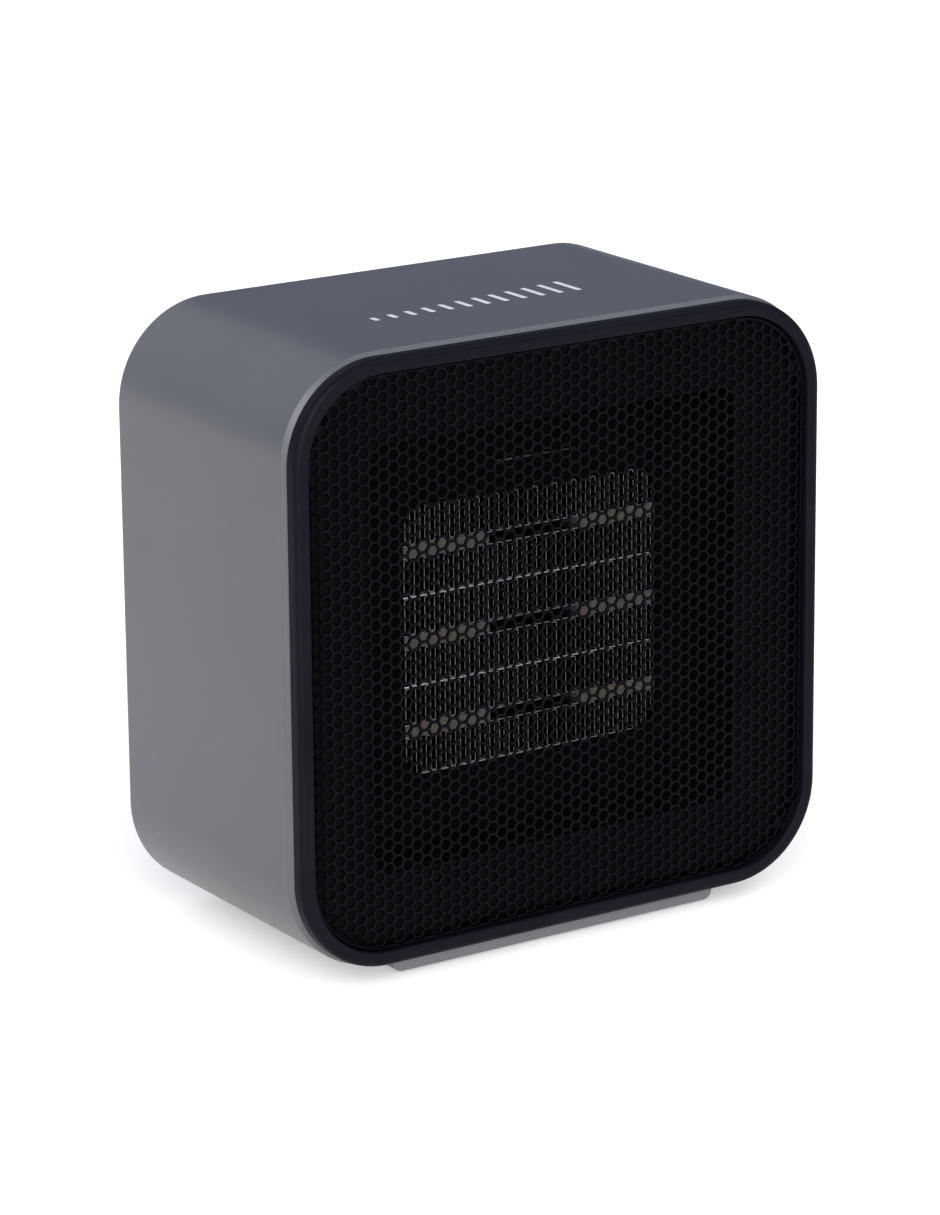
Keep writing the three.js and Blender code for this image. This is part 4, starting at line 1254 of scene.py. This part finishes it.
# Rear cover: vented panel, rim, sunk screws
cover = {
    "rows": 13,
    "pitch": 6.6 * mm,
    "slot": 3 * mm,
    "ventRadius": 46 * mm,
    "rib": 5 * mm,
    "corner": 22 * mm,
    "thickness": 2.5 * mm,
    "rimWall": 2 * mm,
    "rimInset": 0.01 * mm,
    "rimSunk": 1 * mm,
    "rimRound": 0.5 * mm,
    "edge": 0.45 * mm,
    "slotCornerShare": 0.495,
    "sinkRadius": 3.2 * mm,
    "sinkDepth": 2 * mm,
    "sinkFlare": 0.1 * mm,
    "sinkLip": 0.6 * mm,
    "sinkLipDepth": 0.4 * mm,
    "cutAbove": 0.1 * mm,
    "holeRadius": 1.65 * mm,
    "switchHole": (13.6 * mm, 19.6 * mm, 0.6 * mm),
    "glandHole": 5.3 * mm,
    "cornerSteps": 20,
}


def ventOutlines():
    outlines = []
    for row in range(cover["rows"]):
        offset = (row - (cover["rows"] - 1) / 2) * cover["pitch"]
        length = math.sqrt(cover["ventRadius"] ** 2 - offset ** 2) - cover["rib"] / 2
        for side in (-1, 1):
            centre = (side * (cover["rib"] + length) / 2, middleZ + offset)
            corner = cover["slot"] * cover["slotCornerShare"]
            outlines.append(roundedOutline(length, cover["slot"], corner, centre, 6))
    return outlines


def makeCover():
    low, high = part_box("rear_cover")
    panelFront = high.y - cover["thickness"]
    outlines = [
        roundedOutline(*sizeOf("rear_cover"), cover["corner"], steps=cover["cornerSteps"]),
        *ventOutlines(),
        roundedOutline(*cover["switchHole"], middleOf("switch_body"), 4),
        circle(cover["glandHole"], middleOf("cord_gland"), 40),
    ]
    panel = plate(outlines, panelFront, high.y, cover["edge"])
    inset, wall, rimEnd = cover["rimInset"], cover["rimWall"], high.y - cover["rimSunk"]
    rimProfile = filleted([
        (inset, low.y, cover["rimRound"]), (inset, rimEnd, 0),
        (wall, rimEnd, 0), (wall, low.y, cover["rimRound"]),
    ], 3)
    rim = sweptRing(*sizeOf("rear_cover"), cover["corner"], rimProfile, cover["cornerSteps"])
    sink, radius, above = high.y - cover["sinkDepth"], cover["sinkRadius"], high.y + cover["cutAbove"]
    sinkProfile = [
        (0, sink), (radius, sink), (radius + cover["sinkFlare"], high.y - cover["sinkLipDepth"]),
        (radius + cover["sinkLip"], above), (0, above),
    ]
    cuts = []
    for spot in screwPlaces():
        cuts.append(turned(sinkProfile, spot))
        cuts.append(rod(spot, cover["holeRadius"], panelFront - mm, high.y, sides=24))
    mesh = combine(combine(panel, [rim]), cuts, "DIFFERENCE")
    piece = place("vented_cover", mesh, "cover_plastic", mainBody, ["rear_cover"])
    # Keeps the shading of the flat back even beside the slots' rounded edges
    even = piece.modifiers.new("even", "WEIGHTED_NORMAL")
    even.keep_sharp = True


# A cross-slotted pan head on a threaded shank with a blunt point
screw = {
    "slotWidth": 0.75 * mm,
    "slotReach": 1.45 * mm,
    "slotDepth": 1.25 * mm,
    "head": 1.7 * mm,
    "headSide": 0.5 * mm,
    "dome": 1.2 * mm,
    "domeShare": 0.8,
    "shank": 1.35 * mm,
    "point": ((0.5, 0.2 * mm), (0.85, 1.6 * mm)),
    "threads": 11,
    "threadPitch": 0.85 * mm,
    "threadRise": 0.4 * mm,
    "root": 0.82,
    "neck": 0.9,
    "sharpAngle": 35,
}


def screwProfile(start, end, head):
    shank, rise = screw["shank"], screw["threadRise"]
    seat = end - screw["head"]
    profile = [(0, start)] + [(shank * share, start + along) for share, along in screw["point"]]
    for turn in range(screw["threads"]):
        y = profile[2][1] + turn * screw["threadPitch"]
        profile += [(shank * screw["root"], y), (shank, y + rise)]
    side = seat + screw["headSide"]
    profile += [(shank * screw["root"], seat - rise), (shank * screw["neck"], seat)]
    profile += [(head, seat), (head, side)]
    for step in range(1, 6):
        angle = step / 6 * math.pi / 2
        profile.append((head * math.cos(angle * screw["domeShare"]), side + screw["dome"] * math.sin(angle)))
    return profile + [(0, end)]


def makeScrews():
    reach, half = screw["slotReach"], screw["slotWidth"] / 2
    for number in range(1, 5):
        node = f"cover_screw_{number}"
        low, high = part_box(node)
        x, z = middleOf(node)
        cuts = []
        for across, tall in ((reach, half), (half, reach)):
            corner = (x - across, high.y - screw["slotDepth"], z - tall)
            cuts.append(box(corner, (x + across, high.y + mm, z + tall)))
        profile = screwProfile(low.y, high.y, (high.x - low.x) / 2)
        mesh = combine(turned(profile, (x, z), sides=32), cuts, "DIFFERENCE")
        place(f"screw_{number}", mesh, "zinc_steel", mainBody, [node], screw["sharpAngle"])


# Power switch
switch = {
    "flange": 1 * mm,
    "flangeCorner": 1.6 * mm,
    "window": (10.6 * mm, 17.4 * mm),
    "floor": 2 * mm,
    "ledge": 1 * mm,
    "rockerEdge": 0.35 * mm,
}


def makeSwitch():
    low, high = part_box("switch_body")
    flange, window = sizeOf("switch_body"), switch["window"]
    can = [side - 2 * switch["ledge"] for side in flange]
    seat, corner = high.y - switch["flange"], switch["flangeCorner"]
    # Each is a size, how much larger than that, a corner radius and a place along Y
    stations = [
        (can, -0.6 * mm, 0.4 * mm, low.y),
        (can, 0, 0.5 * mm, low.y + 0.3 * mm),
        (can, 0, 0.5 * mm, seat),
        (flange, -0.1 * mm, corner, seat),
        (flange, 0, corner, seat + 0.2 * mm),
        (flange, -0.2 * mm, corner, seat + 0.6 * mm),
        (flange, -1 * mm, corner, high.y - 0.05 * mm),
        (window, 0.8 * mm, 0.8 * mm, high.y),
        (window, 0.1 * mm, 0.5 * mm, high.y - 0.3 * mm),
        (window, 0, 0.4 * mm, high.y - 0.8 * mm),
        (window, 0, 0.4 * mm, low.y + switch["floor"]),
    ]
    mesh = loft([
        standing(roundedOutline(width + more, height + more, radius, middleOf("switch_body"), 6), y)
        for (width, height), more, radius, y in stations
    ])
    place("switch_housing", mesh, "black_plastic", mainBody, ["switch_body"])
    rocker = workedCopy("power_rocker", switch["rockerEdge"], 3)
    place("rocker_key", rocker, "black_plastic", bodyOf("power_rocker"), ["power_rocker"])
    makeRockerMarks()


# A bar and a ring, laid on the two halves of the key
rockerMarks = {
    "fromMiddle": 4.8 * mm,
    "bar": (0.5 * mm, 2.4 * mm, 0.2 * mm),
    "ring": 1.3 * mm,
    "line": 0.45 * mm,
    "proud": 0.06 * mm,
    "sunk": 0.3 * mm,
    "edge": 0.03 * mm,
}


def makeRockerMarks():
    key = frame["nodes"]["power_rocker"]
    _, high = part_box("power_rocker")
    middleX, keyMiddle = middleOf("power_rocker")
    corners = [key.matrix_world @ vertex.co for vertex in key.data.vertices]
    face = BVHTree.FromPolygons(corners, [tuple(polygon.vertices) for polygon in key.data.polygons])
    radii = (rockerMarks["ring"], rockerMarks["ring"] - rockerMarks["line"])
    shapes = {
        "mark_bar": (1, [roundedOutline(*rockerMarks["bar"], (0, 0), 4)]),
        "mark_ring": (-1, [circle(radius, (0, 0), 32) for radius in radii]),
    }
    for name, (side, outlines) in shapes.items():
        behind = Vector((middleX, high.y + mm, keyMiddle + side * rockerMarks["fromMiddle"]))
        spot, normal, _, _ = face.ray_cast(behind, Vector((0, -1, 0)))
        mesh = plate(outlines, -rockerMarks["sunk"], rockerMarks["proud"], rockerMarks["edge"])
        lean = math.atan2(normal.z, normal.y)
        mesh.transform(Matrix.Translation(spot) @ Matrix.Rotation(lean, 4, "X"))
        place(name, mesh, "paper_mark", bodyOf("power_rocker"))


gland = {
    "bore": 3.2 * mm,
    "groove": 5 * mm,
    "grooveRound": 0.2 * mm,
    "gap": 0.1 * mm,
    "lip": 0.8 * mm,
    "collarRound": 0.3 * mm,
    "boreFrontRound": 0.5 * mm,
    "boreRearRound": 0.7 * mm,
}


def makeGland():
    low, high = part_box("cord_gland")
    _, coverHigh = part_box("rear_cover")
    radius, bore, groove, lip = (high.x - low.x) / 2, gland["bore"], gland["groove"], gland["lip"]
    inner, outer = coverHigh.y - cover["thickness"] - gland["gap"], coverHigh.y + gland["gap"]
    profile = filleted([
        (bore, low.y, gland["boreFrontRound"]), (radius, low.y, lip), (radius, inner, gland["grooveRound"]),
        (groove, inner, gland["grooveRound"]), (groove, outer, gland["grooveRound"]),
        (radius, outer, gland["collarRound"]), (radius - lip, high.y, lip),
        (bore, high.y, gland["boreRearRound"]),
    ], 5)
    turnedPiece("cord_bush", "cord_gland", profile, closed=True)


# Rubber pads with three round grooves underneath
pad = {
    "chamfer": 0.45 * mm,
    "chamferBend": (0.12 * mm, 0.2 * mm),
    "groove": 0.35 * mm,
    "grooveHalf": 0.3 * mm,
    "grooves": (2 * mm, 3.4 * mm, 4.6 * mm),
}


def makeFoot():
    # The foot takes the brighter copy of the casing paint: painted light under the ring's overhang
    workUp("foot_base", foot["edge"], 3, finish="lit_foot_paint")
    for number in range(1, 5):
        node = f"rubber_pad_{number}"
        low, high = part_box(node)
        radius, half = (high.x - low.x) / 2, pad["grooveHalf"]
        profile = [(0, low.z)]
        for groove in pad["grooves"]:
            profile += [(groove - half, low.z), (groove, low.z + pad["groove"]), (groove + half, low.z)]
        chamfer, (bendIn, bendUp) = pad["chamfer"], pad["chamferBend"]
        profile += [
            (radius - chamfer, low.z), (radius - bendIn, low.z + bendUp), (radius, low.z + chamfer),
            (radius, high.z), (0, high.z),
        ]
        turnedPiece(f"foot_pad_{number}", node, profile, "Z")


# Tip-over switch under the casing floor
tip = {
    "bodyEdge": 0.4 * mm,
    "stem": 2.2 * mm,
    "tipRound": 0.5 * mm,
    "tipBend": 0.15 * mm,
    "collar": (10.2 * mm, 11.7 * mm),  # up from the tip
    "collarEdge": 0.2 * mm,
    "topChamfer": 0.4 * mm,
    "coils": 5,
    "coilSteps": 28,
    "wire": 0.35 * mm,  # radius
    "mean": 3.1 * mm,
}


def makePlunger():
    low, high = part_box("tip_plunger")
    stem, collar, edge, chamfer = tip["stem"], (high.x - low.x) / 2, tip["collarEdge"], tip["topChamfer"]
    collarLow, collarHigh = (low.z + up for up in tip["collar"])
    profile = [
        (0, low.z), (stem - tip["tipRound"], low.z), (stem - tip["tipBend"], low.z + tip["tipBend"]),
        (stem, low.z + tip["tipRound"]), (stem, collarLow), (collar - edge, collarLow),
        (collar, collarLow + edge), (collar, collarHigh - edge), (collar - edge, collarHigh),
        (stem, collarHigh), (stem, high.z - chamfer), (stem - chamfer, high.z), (0, high.z),
    ]
    turnedPiece("plunger_pin", "tip_plunger", profile, "Z", 32)


# The spring stretches between two bodies, so it's placed on neither
def makeSpring():
    low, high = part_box("tip_spring")
    middle = Vector(((low.x + high.x) / 2, (low.y + high.y) / 2, 0))
    wire, bottom, top = tip["wire"], low.z + tip["wire"], high.z - tip["wire"]
    steps = tip["coils"] * tip["coilSteps"]
    loops = []
    for step in range(steps + 1):
        turn = 2 * math.pi * tip["coils"] * step / steps
        out = Vector((math.cos(turn), math.sin(turn), 0))
        height = bottom + (top - bottom) * step / steps
        section = []
        for k in range(8):
            angle = k * math.pi / 4
            up = Vector((0, 0, height + wire * math.sin(angle)))
            section.append(tuple(middle + out * (tip["mean"] + wire * math.cos(angle)) + up))
        loops.append(section)
    spring = place("plunger_spring", loft(loops), "zinc_steel", None, ["tip_spring"])
    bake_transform(spring)


makeSleeve()
makeTopMark()
makeRing()
print("casing and ring made")
makeGrille()
makeFrameMould()
makeElementPlate()
print("grille and frame made")
makeElement()
print("element made")
makeImpeller()
makeMotor()
print("fan and motor made")
makeCover()
makeScrews()
makeSwitch()
makeGland()
print("rear made")
makeFoot()
workUp("tip_switch_body", tip["bodyEdge"])
makePlunger()
makeSpring()
print("foot and tip switch made")

# Stage: a white floor and soft light, strongest from the left
stage = {
    "floorTone": (0.92, 0.9, 0.84),
    "floorGlow": 0.3,
    "floorReach": 6,
    "floorBelow": 0.05 * mm,
    "floorRoughness": 0.9,
    "floorShine": 0.1,
    "worldTone": (0.76, 0.86, 1.22),
    "world": 0.3,
    "lights": [  # where each shines toward, how strongly, and how wide it is in degrees
        ((0.44, 0.78, -0.44), 3.2, 50),
        ((0.85, 0.1, -0.5), 0.75, 50),
        ((0.22, -0.8, -0.52), 0.5, 60),
        ((-0.52, 0.27, -0.81), 0.6, 40),
        ((0.15, 0.95, -0.06), 1.3, 40),
    ],
}


def sunlight(name, toward, strength, softness):
    data = bpy.data.lights.new(name, "SUN")
    data.energy = strength
    data.angle = math.radians(softness)
    light = addObject(name, data)
    light.rotation_euler = Vector(toward).to_track_quat("-Z", "Y").to_euler()


def makeStage():
    reach, below = stage["floorReach"], stage["floorBelow"]
    corners = [(x * reach, y * reach, -below) for x, y in ((-1, -1), (1, -1), (1, 1), (-1, 1))]
    floorMesh = meshOf(corners, [(0, 1, 2, 3)])
    floor = addObject("floor", floorMesh)
    material, tree, shader, _ = newFinish("floor")
    setTone(tree, shader.inputs["Base Color"], stage["floorTone"])
    shader.inputs["Roughness"].default_value = stage["floorRoughness"]
    shader.inputs["Specular IOR Level"].default_value = stage["floorShine"]
    shader.inputs["Emission Color"].default_value = (1, 1, 1, 1)
    shader.inputs["Emission Strength"].default_value = stage["floorGlow"]
    floorMesh.materials.append(material)
    world = bpy.data.worlds.new("world")
    world.use_nodes = True
    background = world.node_tree.nodes["Background"]
    background.inputs["Color"].default_value = (*stage["worldTone"], 1)
    background.inputs["Strength"].default_value = stage["world"]
    bpy.context.scene.world = world
    for number, (toward, strength, softness) in enumerate(stage["lights"]):
        sunlight(f"soft_{number}", toward, strength, softness)
    bpy.context.scene.view_settings.view_transform = "Standard"


makeStage()
print("stage made")
